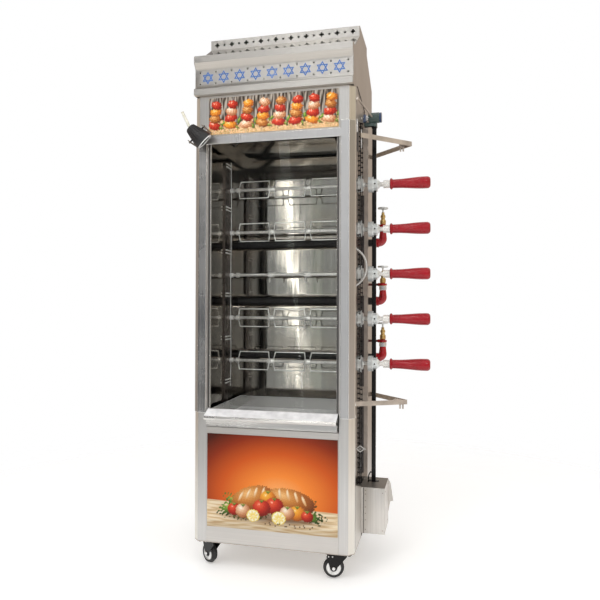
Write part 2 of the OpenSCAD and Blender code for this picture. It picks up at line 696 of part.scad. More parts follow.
// Route of the chain's middle line in Y and Z: up the front strand, over the idler and down the back strand
wrap_r = idler_r + roller_r + 0.5;
run_r = sprocket_r + roller_r + 0.5;
idler_c = [spit_y, caster_h + idler_z];
drive_c = [spit_y, caster_h + drive_z];
chain_route = concat(
  arc(idler_c, wrap_r, 180, 0, 8),
  [[spit_y + run_r, spit_zs[0] + 60], [spit_y + run_r, spit_zs[spit_n - 1] - 60]],
  arc(drive_c, wrap_r, 0, -180, 8),
  [[spit_y - run_r, spit_zs[spit_n - 1] - 60], [spit_y - run_r, spit_zs[0] + 60]]);
chain_len = [for (i = 0, s = 0; i <= len(chain_route);
              s = s + norm(chain_route[(i + 1) % len(chain_route)] - chain_route[i % len(chain_route)]), i = i + 1) s];
chain_total = chain_len[len(chain_route)];
link_n = 2 * round(chain_total / 2 / 19.05);
link_p = chain_total / link_n;

// Point of the route at distance s along it
function chain_at(s) = let (k = max([for (i = [0:len(chain_route) - 1]) if (chain_len[i] <= s) i]),
                            a = chain_route[k], b = chain_route[(k + 1) % len(chain_route)],
                            u = (s - chain_len[k]) / (chain_len[k + 1] - chain_len[k])) a + u * (b - a);

// One pair of side plates between two rollers
module link_plates(a, b, w) {
  d = b - a;
  for (side = [-1, 1])
    translate([chain_x + side * w, a.x, a.y]) rotate([atan2(d.y, d.x), 0, 0]) rotate([0, 90, 0])
      translate([0, 0, -0.75]) linear_extrude(1.5) {
        translate([-3.2, 0]) square([6.4, norm(d)]);
        circle(r = 4.2, $fn = 16);
        translate([0, norm(d)]) circle(r = 4.2, $fn = 16);
      }
}

module drive_chain() placed("dimgray") for (i = [0:link_n - 1]) {
  a = chain_at(i * link_p);
  b = chain_at(((i + 1) % link_n) * link_p);
  rod_x(chain_x - 6.4, chain_x + 6.4, a.x, a.y, roller_r - 1.2);
  link_plates(a, b, i % 2 == 0 ? 3.5 : 5.1);
}

module idler_sprocket() placed("slategray") translate([0, spit_y, caster_h + idler_z]) {
  translate([chain_x, 0, 0]) toothed(idler_teeth, idler_r, tooth_w);
  rod_x(hub_x0, block_x0 - 2, 0, 0, 10);
  rod_x(block_x0 - 2 - eps, block_x1 + 10, 0, 0, 6);
  rod_x(block_x1 + 10 + seat, block_x1 + 18, 0, 0, 19);
  rod_x(block_x1 + 10, block_x1 + 11, 0, 0, 6);
}

motor_shaft_r = 7;
gear_x0 = bay_x + 34;
motor_y0 = cover_y0 + sheet_t + 5;

module drive_sprocket() placed("gray") translate([0, spit_y, caster_h + drive_z]) {
  translate([chain_x, 0, 0]) toothed(idler_teeth, idler_r, tooth_w);
  rod_x(hub_x0, gear_x0 - 2, 0, 0, 10);
  rod_x(gear_x0 - 2 - eps, gear_x0 + 30, 0, 0, motor_shaft_r);
}

// Gearbox with its shaft bore, and the finned motor in front of it
module gearmotor() placed("dimgray") difference() {
  union() {
    block([gear_x0, spit_y - 32, caster_h + drive_z - 60], [gear_x0 + 24, post_y - post_w / 2 - 4, caster_h + drive_z + 34]);
    rod_y(motor_y0, spit_y - 32 + eps, gear_x0 + 42, caster_h + drive_z - 20, 30);
    block([gear_x0 + 20, spit_y - 40, caster_h + drive_z - 52], [gear_x0 + 70, spit_y - 20, caster_h + drive_z + 12]);
    block([bay_x, motor_y0, caster_h + drive_z - 66], [gear_x0 + 60, spit_y - 20, caster_h + drive_z - 60 + eps]);
    for (k = [0:4]) rod_y(motor_y0 + 2 + k * 6, motor_y0 + 5 + k * 6, gear_x0 + 42, caster_h + drive_z - 20, 33);
  }
  rod_x(gear_x0 - 5, gear_x0 + 31, spit_y, caster_h + drive_z, motor_shaft_r + run_gap);
}

// Sheet cover with slots in its top for the chain and the post
module motor_cover() placed("silver") difference() {
  block([bay_x, cover_y0, cover_z0], [cover_x1, cover_y1, cover_z1]);
  block([bay_x - 1, cover_y0 + sheet_t, cover_z0 - 1], [cover_x1 - sheet_t, cover_y1 - sheet_t, cover_z1 - sheet_t]);
  block([bay_x - 1, spit_y - run_r - 10, cover_z1 - 10], [chain_x + 10, spit_y + run_r + 10, cover_z1 + 10]);
  block([post_x - 24, post_y - post_w / 2 - 4, cover_z1 - 10], [post_x + 20, post_y + post_w / 2 + 4, cover_z1 + 10]);
}

// ---------- outside fittings ----------

// V bracket of two flat bars, with a gusset in its tip and a two-pronged clip under it
bracket_h = 18;
module v_bracket(front, back, tip, clip) {
  linear_extrude(bracket_h) polygon(strip([front, tip, back], -3));
  // gusset between the bars
  along_front = (front - tip) / norm(front - tip);
  along_back = (back - tip) / norm(back - tip);
  translate([0, 0, bracket_h - 6]) linear_extrude(3) polygon([tip - [1, 0], tip + 66 * along_back, tip + 66 * along_front]);
  translate([tip.x - clip, tip.y - 5, -18]) difference() {
    cube([17, 10, bracket_h + 12.1]);
    translate([6, -1, -1]) cube([5, 12, 17]);
  }
}

bracket_tip_y = spit_y + 48;

module side_brackets() placed("silver") {
  translate([0, 0, caster_h + ceiling_z - 8])
    v_bracket([half_w, spit_y - 118], [half_w, spit_y + 226], [half_w + 175, bracket_tip_y], 43);
  translate([0, 0, caster_h + deck_z + 62])
    v_bracket([bay_x, spit_y - 54], [half_w, spit_y + 226], [half_w + 158, bracket_tip_y], 26);
  // stay from the front post to the head of the drive post
  bar([half_w + 6, 26, caster_h + idler_z], [block_x0 + 14, spit_y - 20.6, caster_h + idler_z], 3.5);
  rod_x(half_w, half_w + 8, 26, caster_h + idler_z, 6);
}

conduit_y = spit_y - 60;
conduit_z = spit_zs[2] + 23.5;
conduit_half = 73;
conduit_r = 4;
conduit_bulge = 46;

// Arc of flexible conduit that leaves the bay's wall and returns to it, with its two end fittings
module conduit() placed("whitesmoke") {
  r = (conduit_half * conduit_half + conduit_bulge * conduit_bulge) / (2 * conduit_bulge);
  a = asin(conduit_half / r);
  translate([bay_x + 4 + conduit_bulge - r, conduit_y, conduit_z])
    rotate([90, 0, 0]) rotate([0, 0, -a]) rotate_extrude(angle = 2 * a) translate([r, 0]) circle(r = conduit_r, $fn = 24);
  for (side = [-1, 1]) rod_x(bay_x, bay_x + 9, conduit_y, conduit_z + side * conduit_half, conduit_r + 4);
}

module lamp_frame() translate(lamp_pivot) rotate([0, 45, 0]) children();

module lamp_bracket() placed("dimgray") lamp_frame() {
  arm_y = -lamp_pivot.y - frame_t;
  for (side = [-1, 1]) translate([0, 0, side * 37]) difference() {
    translate([-8, -8, -1.5]) cube([16, arm_y + 8, 3]);
    translate([0, 0, -5]) cylinder(h = 10, r = 3 + run_gap);
  }
  translate([-8, arm_y - 3, -38.5]) cube([16, 3, 77]);
}

// Lamp: ribbed body flaring to the lens ring, pivot pins and the stiff cable sleeve behind it
module lamp_head() placed([0.1, 0.1, 0.1]) lamp_frame() rotate([0, 0, lamp_tilt]) {
  rotate([0, 90, 0]) rotate_extrude() polygon([[0, -lamp_len], [14, -lamp_len], [17, -lamp_len + 3], [24, -4], [34, lamp_len - 12],
                                               [34, lamp_len], [30, lamp_len], [30, lamp_len - 6], [0, lamp_len - 6]]);
  for (side = [-1, 1]) translate([0, 0, side * 22]) mirror([0, 0, side < 0 ? 1 : 0]) cylinder(h = 20, r = 3);
  bar(sleeve_a, sleeve_b, sleeve_r);
}

// ---------- casters ----------

caster_x = half_w - 60;
caster_y = 52;
rear_y = cab_d - 60;
top_plate_t = 4;
// swivel angle at rest of the front forks: the wheel's axle lies behind the swivel along this heading
front_right_turn = 100;
front_left_turn = 55;

module caster_at(x, y, turn) translate([x, y, 0]) rotate(turn) children();

// Mounting plate with its swivel stud, below the base plate
module caster_plate() {
  translate([-50, -38, caster_h - top_plate_t]) cube([100, 76, top_plate_t]);
  for (x = [-40, 40], y = [-28, 28]) translate([x, y, caster_h - top_plate_t - 5]) cylinder(h = 5 + eps, r = 6.5, $fn = 6);
  translate([0, 0, caster_h - 18]) cylinder(h = 16, r = 8);
}

// Fork: crown ring round the stud and two legs down to the axle
module fork() {
  crown_z = caster_h - 14;
  difference() {
    union() {
      translate([0, 0, crown_z]) cylinder(h = 9, r = 24);
      for (side = [-1, 1])
        translate([side * (wheel_w / 2 + 2.5), 0, 0]) rotate([90, 0, 90]) translate([0, 0, -1.5]) linear_extrude(3)
          polygon([[-26, crown_z + 2], [trail + 22, crown_z + 2], [trail + 26, crown_z - 8], [trail + 13, wheel_d / 2 + 2],
                   [trail + 7, wheel_d / 2 - 8], [trail - 7, wheel_d / 2 - 8], [trail - 14, wheel_d / 2 + 4], [-28, crown_z - 6]]);
    }
    translate([0, 0, crown_z - 10]) cylinder(h = 40, r = 8 + run_gap);
    translate([-(wheel_w / 2 + 1), -40, 0]) cube([wheel_w + 2, 100, crown_z]);
  }
  translate([-wheel_w / 2 - 6, trail, wheel_d / 2]) rotate([0, 90, 0]) cylinder(h = wheel_w + 12, r = 4);
}

// Wheel: rounded tyre over a hub with a running bore
module wheel() translate([0, trail, wheel_d / 2]) rotate([0, 90, 0]) rotate_extrude()
  polygon(concat([[4 + run_gap, -wheel_w / 2 + 0.5], [12, -wheel_w / 2 + 0.5], [14, -wheel_w / 2 + 3], [25, -wheel_w / 2 + 3]],
                 [[27, -wheel_w / 2], [wheel_d / 2 - 5, -wheel_w / 2]],
                 arc([wheel_d / 2 - 6, 0], 6, -80, 80, 6),
                 [[wheel_d / 2 - 5, wheel_w / 2], [27, wheel_w / 2], [25, wheel_w / 2 - 3], [14, wheel_w / 2 - 3],
                  [12, wheel_w / 2 - 0.5], [4 + run_gap, wheel_w / 2 - 0.5]]));

module caster_mounts() placed("lightgray") {
  caster_at(caster_x, caster_y, 0) caster_plate();
  caster_at(-caster_x, caster_y, 0) caster_plate();
  for (side = [-1, 1]) caster_at(side * caster_x, rear_y, 180) {
    caster_plate();
    fork();
  }
}

module front_left_fork() placed("lightgray") caster_at(-caster_x, caster_y, front_left_turn) fork();
module front_right_fork() placed("lightgray") caster_at(caster_x, caster_y, front_right_turn) fork();
module front_left_wheel() placed([0.1, 0.1, 0.1]) caster_at(-caster_x, caster_y, front_left_turn) wheel();
module front_right_wheel() placed([0.1, 0.1, 0.1]) caster_at(caster_x, caster_y, front_right_turn) wheel();
module rear_left_wheel() placed([0.1, 0.1, 0.1]) caster_at(-caster_x, rear_y, 180) wheel();
module rear_right_wheel() placed([0.1, 0.1, 0.1]) caster_at(caster_x, rear_y, 180) wheel();

// ---------- drawing ----------

corner_posts();
left_side_panel();
right_side_panel();
back_panel();
base_plate();
top_panel();
side_liners();
cavity_decks();
reflectors();
spit_rest();
drip_tray();
lower_front_panel();
picture_plates();
header_panel();
window_frame();
window_glass();
hood_shell();
hood_fascia();
star_trim();
vent_grille();
burner_tubes();
gas_manifold();
venturi_elbows();
valve_bodies();
handwheel_1();
handwheel_2();
handwheel_3();
spit_1();
spit_2();
spit_3();
spit_4();
spit_5();
baskets_1();
baskets_2();
baskets_3();
baskets_4();
baskets_5();
handle_1();
handle_2();
handle_3();
handle_4();
handle_5();
bearing_blocks();
drive_post();
drive_chain();
idler_sprocket();
drive_sprocket();
gearmotor();
motor_cover();
side_brackets();
lamp_bracket();
lamp_head();
conduit();
caster_mounts();
front_left_fork();
front_right_fork();
front_left_wheel();
front_right_wheel();
rear_left_wheel();
rear_right_wheel();
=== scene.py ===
"""A rotisserie oven: finishes for its sheet metal, spits, drive and gas side, and its printed pieces.

Measures are in millimetres from the cabinet's middle, its front face and the floor, and spot() turns
them into metres.
"""

import json
import math

import bmesh
import bpy
import numpy as np
from mathutils import Matrix, Quaternion, Vector

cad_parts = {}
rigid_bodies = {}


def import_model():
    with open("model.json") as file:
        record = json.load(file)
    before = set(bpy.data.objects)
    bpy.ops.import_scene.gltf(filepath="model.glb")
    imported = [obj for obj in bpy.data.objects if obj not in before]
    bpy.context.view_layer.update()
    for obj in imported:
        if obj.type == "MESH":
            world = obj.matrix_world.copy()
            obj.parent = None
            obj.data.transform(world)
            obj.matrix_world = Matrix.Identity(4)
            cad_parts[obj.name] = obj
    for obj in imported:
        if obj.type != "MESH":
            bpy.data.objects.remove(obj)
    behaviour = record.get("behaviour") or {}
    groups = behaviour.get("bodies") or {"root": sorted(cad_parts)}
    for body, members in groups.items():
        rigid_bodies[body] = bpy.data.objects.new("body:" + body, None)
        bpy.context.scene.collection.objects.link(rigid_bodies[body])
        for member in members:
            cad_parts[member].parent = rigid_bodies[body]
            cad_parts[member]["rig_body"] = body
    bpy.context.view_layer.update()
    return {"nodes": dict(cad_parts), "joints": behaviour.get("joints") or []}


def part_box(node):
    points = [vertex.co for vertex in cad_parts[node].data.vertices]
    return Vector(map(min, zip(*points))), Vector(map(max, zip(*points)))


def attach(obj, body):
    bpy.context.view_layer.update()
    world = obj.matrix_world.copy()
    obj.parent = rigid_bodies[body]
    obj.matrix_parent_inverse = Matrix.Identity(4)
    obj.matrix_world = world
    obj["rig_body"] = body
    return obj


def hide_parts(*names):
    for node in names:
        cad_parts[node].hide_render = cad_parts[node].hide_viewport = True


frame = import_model()
base_low, base_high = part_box("base_plate")
MIDDLE_X = (base_low.x + base_high.x) / 2
FRONT_Y = base_low.y
MM = 0.001


def spot(x, y, z):
    return Vector((MIDDLE_X + x * MM, FRONT_Y + y * MM, z * MM))


# ---------------------------------------------------------------- finishes


class Nodes:
    """A node tree whose nodes are laid one after another."""

    def __init__(self, tree):
        self.tree = tree

    def node(self, kind, **settings):
        made = self.tree.nodes.new(kind)
        for key, value in settings.items():
            setattr(made, key, value)
        return made

    def join(self, source, target):
        self.tree.links.new(source, target)

    def put(self, socket, value):
        """Feeds a socket from another one, or sets its number or its colour."""
        if isinstance(value, bpy.types.NodeSocket):
            self.join(value, socket)
        else:
            socket.default_value = (*value, 1) if isinstance(value, tuple) else value

    def between(self, value, low, high, low_to=0.0, high_to=1.0, smooth=False):
        made = self.node("ShaderNodeMapRange", interpolation_type="SMOOTHSTEP" if smooth else "LINEAR")
        self.join(value, made.inputs["Value"])
        for name, number in (("From Min", low), ("From Max", high), ("To Min", low_to), ("To Max", high_to)):
            made.inputs[name].default_value = number
        return made.outputs["Result"]

    def maths(self, how, a, b=0.5):
        made = self.node("ShaderNodeMath", operation=how)
        self.put(made.inputs[0], a)
        self.put(made.inputs[1], b)
        return made.outputs[0]

    def blend(self, amount, a, b):
        made = self.node("ShaderNodeMix", data_type="RGBA")
        self.put(made.inputs["Factor"], amount)
        for socket, colour in zip([s for s in made.inputs if s.type == "RGBA"], (a, b)):
            self.put(socket, colour)
        return next(s for s in made.outputs if s.type == "RGBA")

    def ramp(self, value, stops):
        """Colours along a value, from the first stop's place to the last one's."""
        low, high = stops[0][0], stops[-1][0]
        made = self.node("ShaderNodeValToRGB")
        self.join(self.between(value, low, high), made.inputs["Fac"])
        points = made.color_ramp.elements
        while len(points) < len(stops):
            points.new(0.5)
        for point, (where, colour) in zip(points, stops):
            point.position = (where - low) / (high - low)
            point.color = (*colour, 1)
        return made.outputs["Color"]

    def mix_surface(self, amount, first, second):
        """Makes a mix of two shaders the material's surface."""
        mix = self.node("ShaderNodeMixShader")
        for socket, source in zip(mix.inputs, (amount, first, second)):
            self.join(source, socket)
        self.join(mix.outputs[0], self.tree.nodes["Material Output"].inputs["Surface"])


class Finish(Nodes):
    """A material on the Principled shader, patterned in the piece's own place."""

    def __init__(self, name, colour, rough, metal=0.0):
        self.material = bpy.data.materials.new(name)
        self.material.use_nodes = True
        super().__init__(self.material.node_tree)
        self.shader = self.tree.nodes["Principled BSDF"]
        self.set(Base_Color=(*colour, 1), Roughness=rough, Metallic=metal)
        self.place = self.node("ShaderNodeTexCoord").outputs["Object"]

    def set(self, **values):
        for name, value in values.items():
            self.shader.inputs[name.replace("_", " ")].default_value = value

    def noise(self, scale, detail=3, stretch=None):
        made = self.node("ShaderNodeTexNoise")
        made.inputs["Scale"].default_value = scale
        made.inputs["Detail"].default_value = detail
        source = self.place
        if stretch:
            mapping = self.node("ShaderNodeMapping")
            mapping.inputs["Scale"].default_value = stretch
            self.join(source, mapping.inputs["Vector"])
            source = mapping.outputs["Vector"]
        self.join(source, made.inputs["Vector"])
        return made.outputs["Fac"]

    def colour(self, value):
        self.join(value, self.shader.inputs["Base Color"])

    def rough(self, value):
        self.join(value, self.shader.inputs["Roughness"])

    def relief(self, height, depth, strength):
        made = self.node("ShaderNodeBump")
        made.inputs["Distance"].default_value = depth
        made.inputs["Strength"].default_value = strength
        self.join(height, made.inputs["Height"])
        self.join(made.outputs["Normal"], self.shader.inputs["Normal"])


def darker(colour, share):
    return tuple(c * share for c in colour)


# How finely a brushed sheet's lines are drawn, in x, y and z, for a grain along x or along z
GRAINS = {"x": (1.5, 400, 400), "z": (400, 400, 1.5)}


def brushed(name, colour, rough, grain="z", smudge=0.12, shade=0.8):
    """Brushed sheet: fine lines along the grain, and faint cloudy marks from wiping."""
    f = Finish(name, colour, rough, 1.0)
    lines = f.noise(1.0, 2, stretch=GRAINS[grain])
    cloud = f.noise(5.0, 4)
    tone = f.blend(f.between(lines, 0.3, 0.7), darker(colour, shade), colour)
    f.colour(f.blend(f.between(cloud, 0.3, 0.75), tone, darker(colour, 0.9)))
    wiped = f.between(cloud, 0.3, 0.7, rough - smudge / 2, rough + smudge / 2)
    f.rough(f.maths("ADD", wiped, f.between(lines, 0, 1, -0.04, 0.04)))
    f.relief(lines, 0.00002, 0.6)
    return f.material


def cast(name, colour, rough, metal=1.0, grain=260, depth=0.0003):
    """Sand-cast metal: a fine pitted skin, with darker cloudy patches."""
    f = Finish(name, colour, rough, metal)
    pits = f.noise(grain, 5)
    cloud = f.noise(24, 3)
    f.colour(f.blend(f.between(cloud, 0.35, 0.7), colour, darker(colour, 0.72)))
    f.rough(f.between(pits, 0.2, 0.8, rough - 0.08, rough + 0.12))
    f.relief(pits, depth, 0.7)
    return f.material


def lacquer(name, colour, rough=0.22, depth=0.0002, worn=None, coat=0.7, gloss=0.5):
    """Gloss paint with a slight orange peel and a few worn spots."""
    f = Finish(name, colour, rough)
    f.set(Coat_Weight=coat, Coat_Roughness=0.08, Specular_IOR_Level=gloss)
    peel = f.noise(160, 2)
    cloud = f.noise(30, 4)
    tone = f.blend(f.between(cloud, 0.3, 0.7), colour, darker(colour, 0.8))
    if worn:
        tone = f.blend(f.between(f.noise(70, 6), 0.66, 0.7), tone, worn)
    f.colour(tone)
    f.rough(f.between(cloud, 0.3, 0.7, rough - 0.06, rough + 0.1))
    f.relief(peel, depth, 0.4)
    return f.material


post_steel = brushed("post_steel", (0.66, 0.65, 0.635), 0.34, "z")
# The posts' chamfer faces: a lighter, warmer copy of the post steel
chamfer_light_steel = brushed("chamfer_lighter_steel", (0.86, 0.83, 0.77), 0.40, "z")
frame_steel = brushed("frame_steel", (0.62, 0.62, 0.625), 0.32, "z")
# painted shade: the frame's left stile is a darker copy of its steel, with darker grain lines
left_stile_shaded = brushed("left_stile_painted_shade", (0.50, 0.50, 0.50), 0.28, "z", smudge=0.18, shade=0.6)
# painted highlight: near-white steel on the frame's bevelled bends, for the bright line that light draws along
# them
bend_highlight = brushed("bend_painted_highlight", (0.93, 0.925, 0.91), 0.22, "z", smudge=0.04)
hood_steel = brushed("hood_steel", (0.68, 0.66, 0.63), 0.33, "x")
slope_steel = brushed("hood_slope_steel", (0.66, 0.64, 0.61), 0.11, "x", smudge=0.05)
side_steel = brushed("side_steel", (0.55, 0.50, 0.45), 0.36, "z")
hood_side_steel = brushed("hood_side_steel", (0.50, 0.455, 0.41), 0.38, "z")
front_steel = brushed("front_steel", (0.66, 0.64, 0.61), 0.36, "x")
cover_steel = brushed("cover_steel", (0.76, 0.73, 0.69), 0.46, "z")
# painted shade: the motor cover's top faces are a much darker copy of its steel
cover_top_painted_shade = brushed("cover_top_painted_shade_steel", (0.30, 0.285, 0.265), 0.5, "x")
bracket_steel = brushed("bracket_steel", (0.40, 0.345, 0.29), 0.42, "x")
tray_steel = brushed("tray_steel", (0.70, 0.69, 0.67), 0.24, "x", smudge=0.16)
# painted light: the drip tray's upward faces get a near-white matt copy of its steel, for the light falling on
# them
tray_top_painted_light = cast("tray_top_painted_light_finish", (0.94, 0.925, 0.92), 0.45, metal=0.0, grain=90)
bar_steel = cast("rest_bar_steel", (0.95, 0.93, 0.90), 0.3, metal=0.35, grain=900, depth=0.00004)
spit_steel = cast("spit_rod_steel", (0.96, 0.94, 0.90), 0.26, metal=0.6, grain=900, depth=0.00004)
# painted shade: near-black steel on the glass guides behind the frame's face, for the shade in that recess
channel_painted_shade = brushed("channel_painted_shade", (0.13, 0.125, 0.12), 0.35, "z")
strip_steel = cast("heat_strip_steel", (0.80, 0.77, 0.70), 0.4, metal=0.4, grain=60, depth=0.00005)
# painted light: a lighter, less metallic copy of the side steel for the drive bay's shaded back wall and roof
bay_painted_light_steel = cast("bay_painted_light_steel", (0.66, 0.58, 0.51), 0.45, metal=0.35, grain=60)
member_steel = cast("member_steel", (0.68, 0.61, 0.54), 0.42, metal=0.7, grain=90)
# painted shade: near-black steel on the spit rest's faces beside the left wall, for the shade in the gap there
rest_painted_shade = brushed("rest_strip_painted_shade", (0.17, 0.14, 0.125), 0.25, "z")
zinc = cast("zinc_casting", (0.90, 0.94, 0.94), 0.40, metal=0.7)
brass = cast("turned_brass", (0.72, 0.50, 0.20), 0.28, grain=500, depth=0.00008)
grip_red = lacquer("grip_lacquer", (0.40, 0.001, 0.010), 0.24, coat=0.35, depth=0.00003, gloss=0.3)
elbow_red = lacquer("elbow_paint", (0.50, 0.002, 0.010), 0.25, worn=(0.18, 0.01, 0.01), coat=0.45)
pipe_paint = cast("pipe_paint", (0.13, 0.035, 0.03), 0.45, metal=0.0, grain=120)
post_black = lacquer("post_paint", (0.003, 0.0025, 0.003), 0.22, coat=0.1, gloss=0.25)
# Black: the set screws' own finish, and painted shade on the bearing holes' walls and in the motor cover's seam
black_and_painted_shade = cast("socket_black_and_painted_shade", (0.006, 0.006, 0.006), 0.7, metal=0.0)
burner_iron = cast("burner_iron", (0.035, 0.033, 0.032), 0.6, metal=0.4, grain=140)
# Oiled chain steel: the chain's own finish, also used on the dark screens beside the chain as painted shade
chain_and_shade_steel = cast("oiled_chain_and_painted_shade", (0.055, 0.050, 0.050), 0.38, metal=0.7, grain=300)
# Dark paint: the bracket plate's finish, painted shade on the strips behind the chain, and on the lamp's fins a
# lighter copy of its black body as painted highlight
dark_paint_and_painted_light = cast("dark_paint_and_painted_light", (0.060, 0.053, 0.052), 0.5, metal=0.2, grain=180)
head_iron = lacquer("drive_head_paint", (0.07, 0.115, 0.105), 0.3, coat=0.4)
idler_blue = cast("idler_enamel", (0.17, 0.22, 0.36), 0.4, metal=0.3)
motor_paint = lacquer("motor_paint", (0.10, 0.11, 0.115), 0.35)
star_blue = lacquer("star_enamel", (0.05, 0.17, 0.50), 0.3, coat=0.3)
cap_blue = lacquer("cap_enamel", (0.012, 0.05, 0.14), 0.3, coat=0.3)
# painted highlight: near-white ring on the lamp's lens edge, for the bright line along it
rim_highlight_white = lacquer("lens_rim_painted_highlight", (0.95, 0.95, 0.94), 0.3, coat=0.2)
clip_white = lacquer("clip_paint", (0.78, 0.77, 0.74), 0.3, coat=0.3)
bolt_steel = cast("bolt_zinc", (0.88, 0.88, 0.88), 0.25, grain=900, depth=0.00004)
wheel_disc = cast("wheel_disc_zinc", (0.86, 0.86, 0.85), 0.30, grain=700, depth=0.00006)


def polished():
    """Polished liner sheet: soft upright bands, wiped haze and a faint warm film of old fat."""
    f = Finish("polished_liner", (0.38, 0.35, 0.315), 0.1, 1.0)
    bands = f.noise(1.0, 2, stretch=(26, 26, 0.4))
    lines = f.noise(1.0, 2, stretch=(500, 500, 3))
    film = f.noise(7, 5)
    tone = f.blend(f.between(bands, 0.32, 0.68), (0.27, 0.248, 0.224), (0.45, 0.415, 0.375))
    f.colour(f.blend(f.between(film, 0.5, 0.75, 0, 0.5), tone, (0.32, 0.26, 0.20)))
    f.rough(f.maths("ADD", f.between(film, 0.3, 0.7, 0.045, 0.11), f.between(lines, 0, 1, -0.02, 0.02)))
    f.relief(f.maths("ADD", bands, f.maths("MULTIPLY", lines, 0.01)), 0.0006, 0.2)
    return f.material


def rubber():
    f = Finish("tyre_rubber", (0.022, 0.022, 0.023), 0.62)
    dust = f.noise(40, 5)
    f.colour(f.blend(f.between(dust, 0.5, 0.8), (0.02, 0.02, 0.021), (0.09, 0.085, 0.08)))
    f.rough(f.between(dust, 0.3, 0.8, 0.5, 0.8))
    f.relief(f.noise(420, 2), 0.0002, 0.5)
    return f.material


def housing():
    f = Finish("lamp_housing", (0.018, 0.018, 0.019), 0.42)
    skin = f.noise(500, 2)
    f.rough(f.between(f.noise(30, 4), 0.3, 0.7, 0.34, 0.5))
    f.relief(skin, 0.0002, 0.5)
    return f.material


def sleeve():
    f = Finish("cable_sleeve", (0.72, 0.70, 0.60), 0.5)
    f.colour(f.blend(f.between(f.noise(50, 4), 0.4, 0.7), (0.74, 0.72, 0.62), (0.58, 0.54, 0.42)))
    f.relief(f.noise(200, 2), 0.0002, 0.4)
    return f.material


def clear_pane():
    """Clear tempered glass: lamps shine through it, and its face mirrors a little."""
    f = Finish("clear_pane", (0.95, 0.975, 0.965), 0.0)
    f.set(Transmission_Weight=1.0, IOR=1.12)
    f.rough(f.between(f.noise(6, 4), 0.45, 0.8, 0.0, 0.02))
    rays = f.node("ShaderNodeLightPath").outputs
    from_lamp = f.maths("MAXIMUM", rays["Is Shadow Ray"], rays["Is Diffuse Ray"])
    f.mix_surface(from_lamp, f.shader.outputs[0], f.node("ShaderNodeBsdfTransparent").outputs[0])
    return f.material


def printed_ink():
    """Ink on sheet: each place's own colour, under a gloss varnish with a fine paper tooth."""
    f = Finish("printed_ink", (0.8, 0.4, 0.1), 0.42)
    f.set(Coat_Weight=0.08, Coat_Roughness=0.1, Specular_IOR_Level=0.2)
    ink = f.node("ShaderNodeAttribute", attribute_name="ink").outputs["Color"]
    tooth = f.noise(420, 2)
    f.colour(f.blend(f.between(tooth, 0.2, 0.8, 0, 0.10), ink, (0.25, 0.10, 0.03)))
    f.rough(f.between(f.noise(18, 4), 0.3, 0.7, 0.34, 0.5))
    f.relief(tooth, 0.00005, 0.3)
    return f.material


class Painter:
    """Lays inks one over another at the places of a sheet, measured in millimetres from its lower middle."""

    LIGHT = (-0.3, 0.4)
    SOFT_EDGE = 1.2

    def __init__(self, across, up, seed):
        self.x, self.y = across, up
        self.rng = np.random.default_rng(seed)
        self.ink = np.zeros((len(across), 3))

    def cloud(self, size, waves=10, stretch=(1.0, 1.0)):
        """Soft wandering values from 0 to 1, about size millimetres across."""
        total = np.zeros(len(self.x))
        for _ in range(waves):
            turn, start, pace = self.rng.uniform(0, 2 * math.pi, 3)
            wave = 2 * math.pi / size * (0.6 + pace / 6)
            along = self.x * math.cos(turn) / stretch[0] + self.y * math.sin(turn) / stretch[1]
            total += np.sin(wave * along + start)
        return np.clip(0.5 + total / (1.6 * math.sqrt(waves)), 0, 1)

    @staticmethod
    def toned(value, stops):
        places = [s[0] for s in stops]
        return np.stack([np.interp(value, places, [s[1][k] for s in stops]) for k in range(3)], 1)

    def lay(self, mask, ink):
        mask = np.clip(mask, 0, 1)[:, None]
        self.ink = self.ink * (1 - mask) + np.asarray(ink) * mask

    def cover(self, ink):
        self.lay(np.ones(len(self.x)), ink)

    def shape(self, x, y, wide, high, stops, turn=0.0, ragged=0.05, grain=9.0, mottle=0.16):
        """A round motif of half size wide by high: its inks run from the lit side outwards."""
        cos, sin = math.cos(math.radians(turn)), math.sin(math.radians(turn))
        dx, dy = self.x - x, self.y - y
        u, v = (dx * cos + dy * sin) / wide, (dy * cos - dx * sin) / high
        near = np.abs(dx) + np.abs(dy) < 3.2 * max(wide, high) + 10
        reach = np.hypot(u, v) + (self.cloud(grain) - 0.5) * 2 * ragged
        lit_u, lit_v = self.LIGHT[0] * cos + self.LIGHT[1] * sin, self.LIGHT[1] * cos - self.LIGHT[0] * sin
        away = np.hypot(u - lit_u, v - lit_v) + (self.cloud(grain * 0.7) - 0.5) * mottle
        mask = near * (1 - reach) * min(wide, high) / self.SOFT_EDGE + 0.5 * near
        self.lay(mask, self.toned(away, stops))

    def shadow(self, x, y, wide, high, strength=0.6):
        reach = np.hypot((self.x - x) / wide, (self.y - y) / high)
        self.lay(strength * np.clip(1.3 - reach, 0, 1), (0.10, 0.035, 0.012))


# Each ink's colours, from its lit side outwards
TOMATO = [(0.0, (1.0, 0.55, 0.40)), (0.14, (0.80, 0.10, 0.04)), (0.7, (0.52, 0.025, 0.012)),
          (1.3, (0.20, 0.008, 0.006))]
PEPPER = [(0.0, (1.0, 0.85, 0.45)), (0.16, (0.92, 0.46, 0.05)), (0.8, (0.72, 0.22, 0.02)),
          (1.4, (0.30, 0.06, 0.01))]
CRUST = [(0.0, (0.90, 0.52, 0.20)), (0.45, (0.62, 0.25, 0.055)), (0.9, (0.38, 0.11, 0.02)),
         (1.4, (0.13, 0.03, 0.008))]
LEAF = [(0.0, (0.42, 0.55, 0.10)), (0.6, (0.10, 0.22, 0.025)), (1.3, (0.02, 0.05, 0.01))]
ONION = [(0.0, (0.99, 0.90, 0.76)), (0.4, (0.84, 0.55, 0.34)), (0.9, (0.60, 0.26, 0.12)),
         (1.4, (0.30, 0.09, 0.03))]
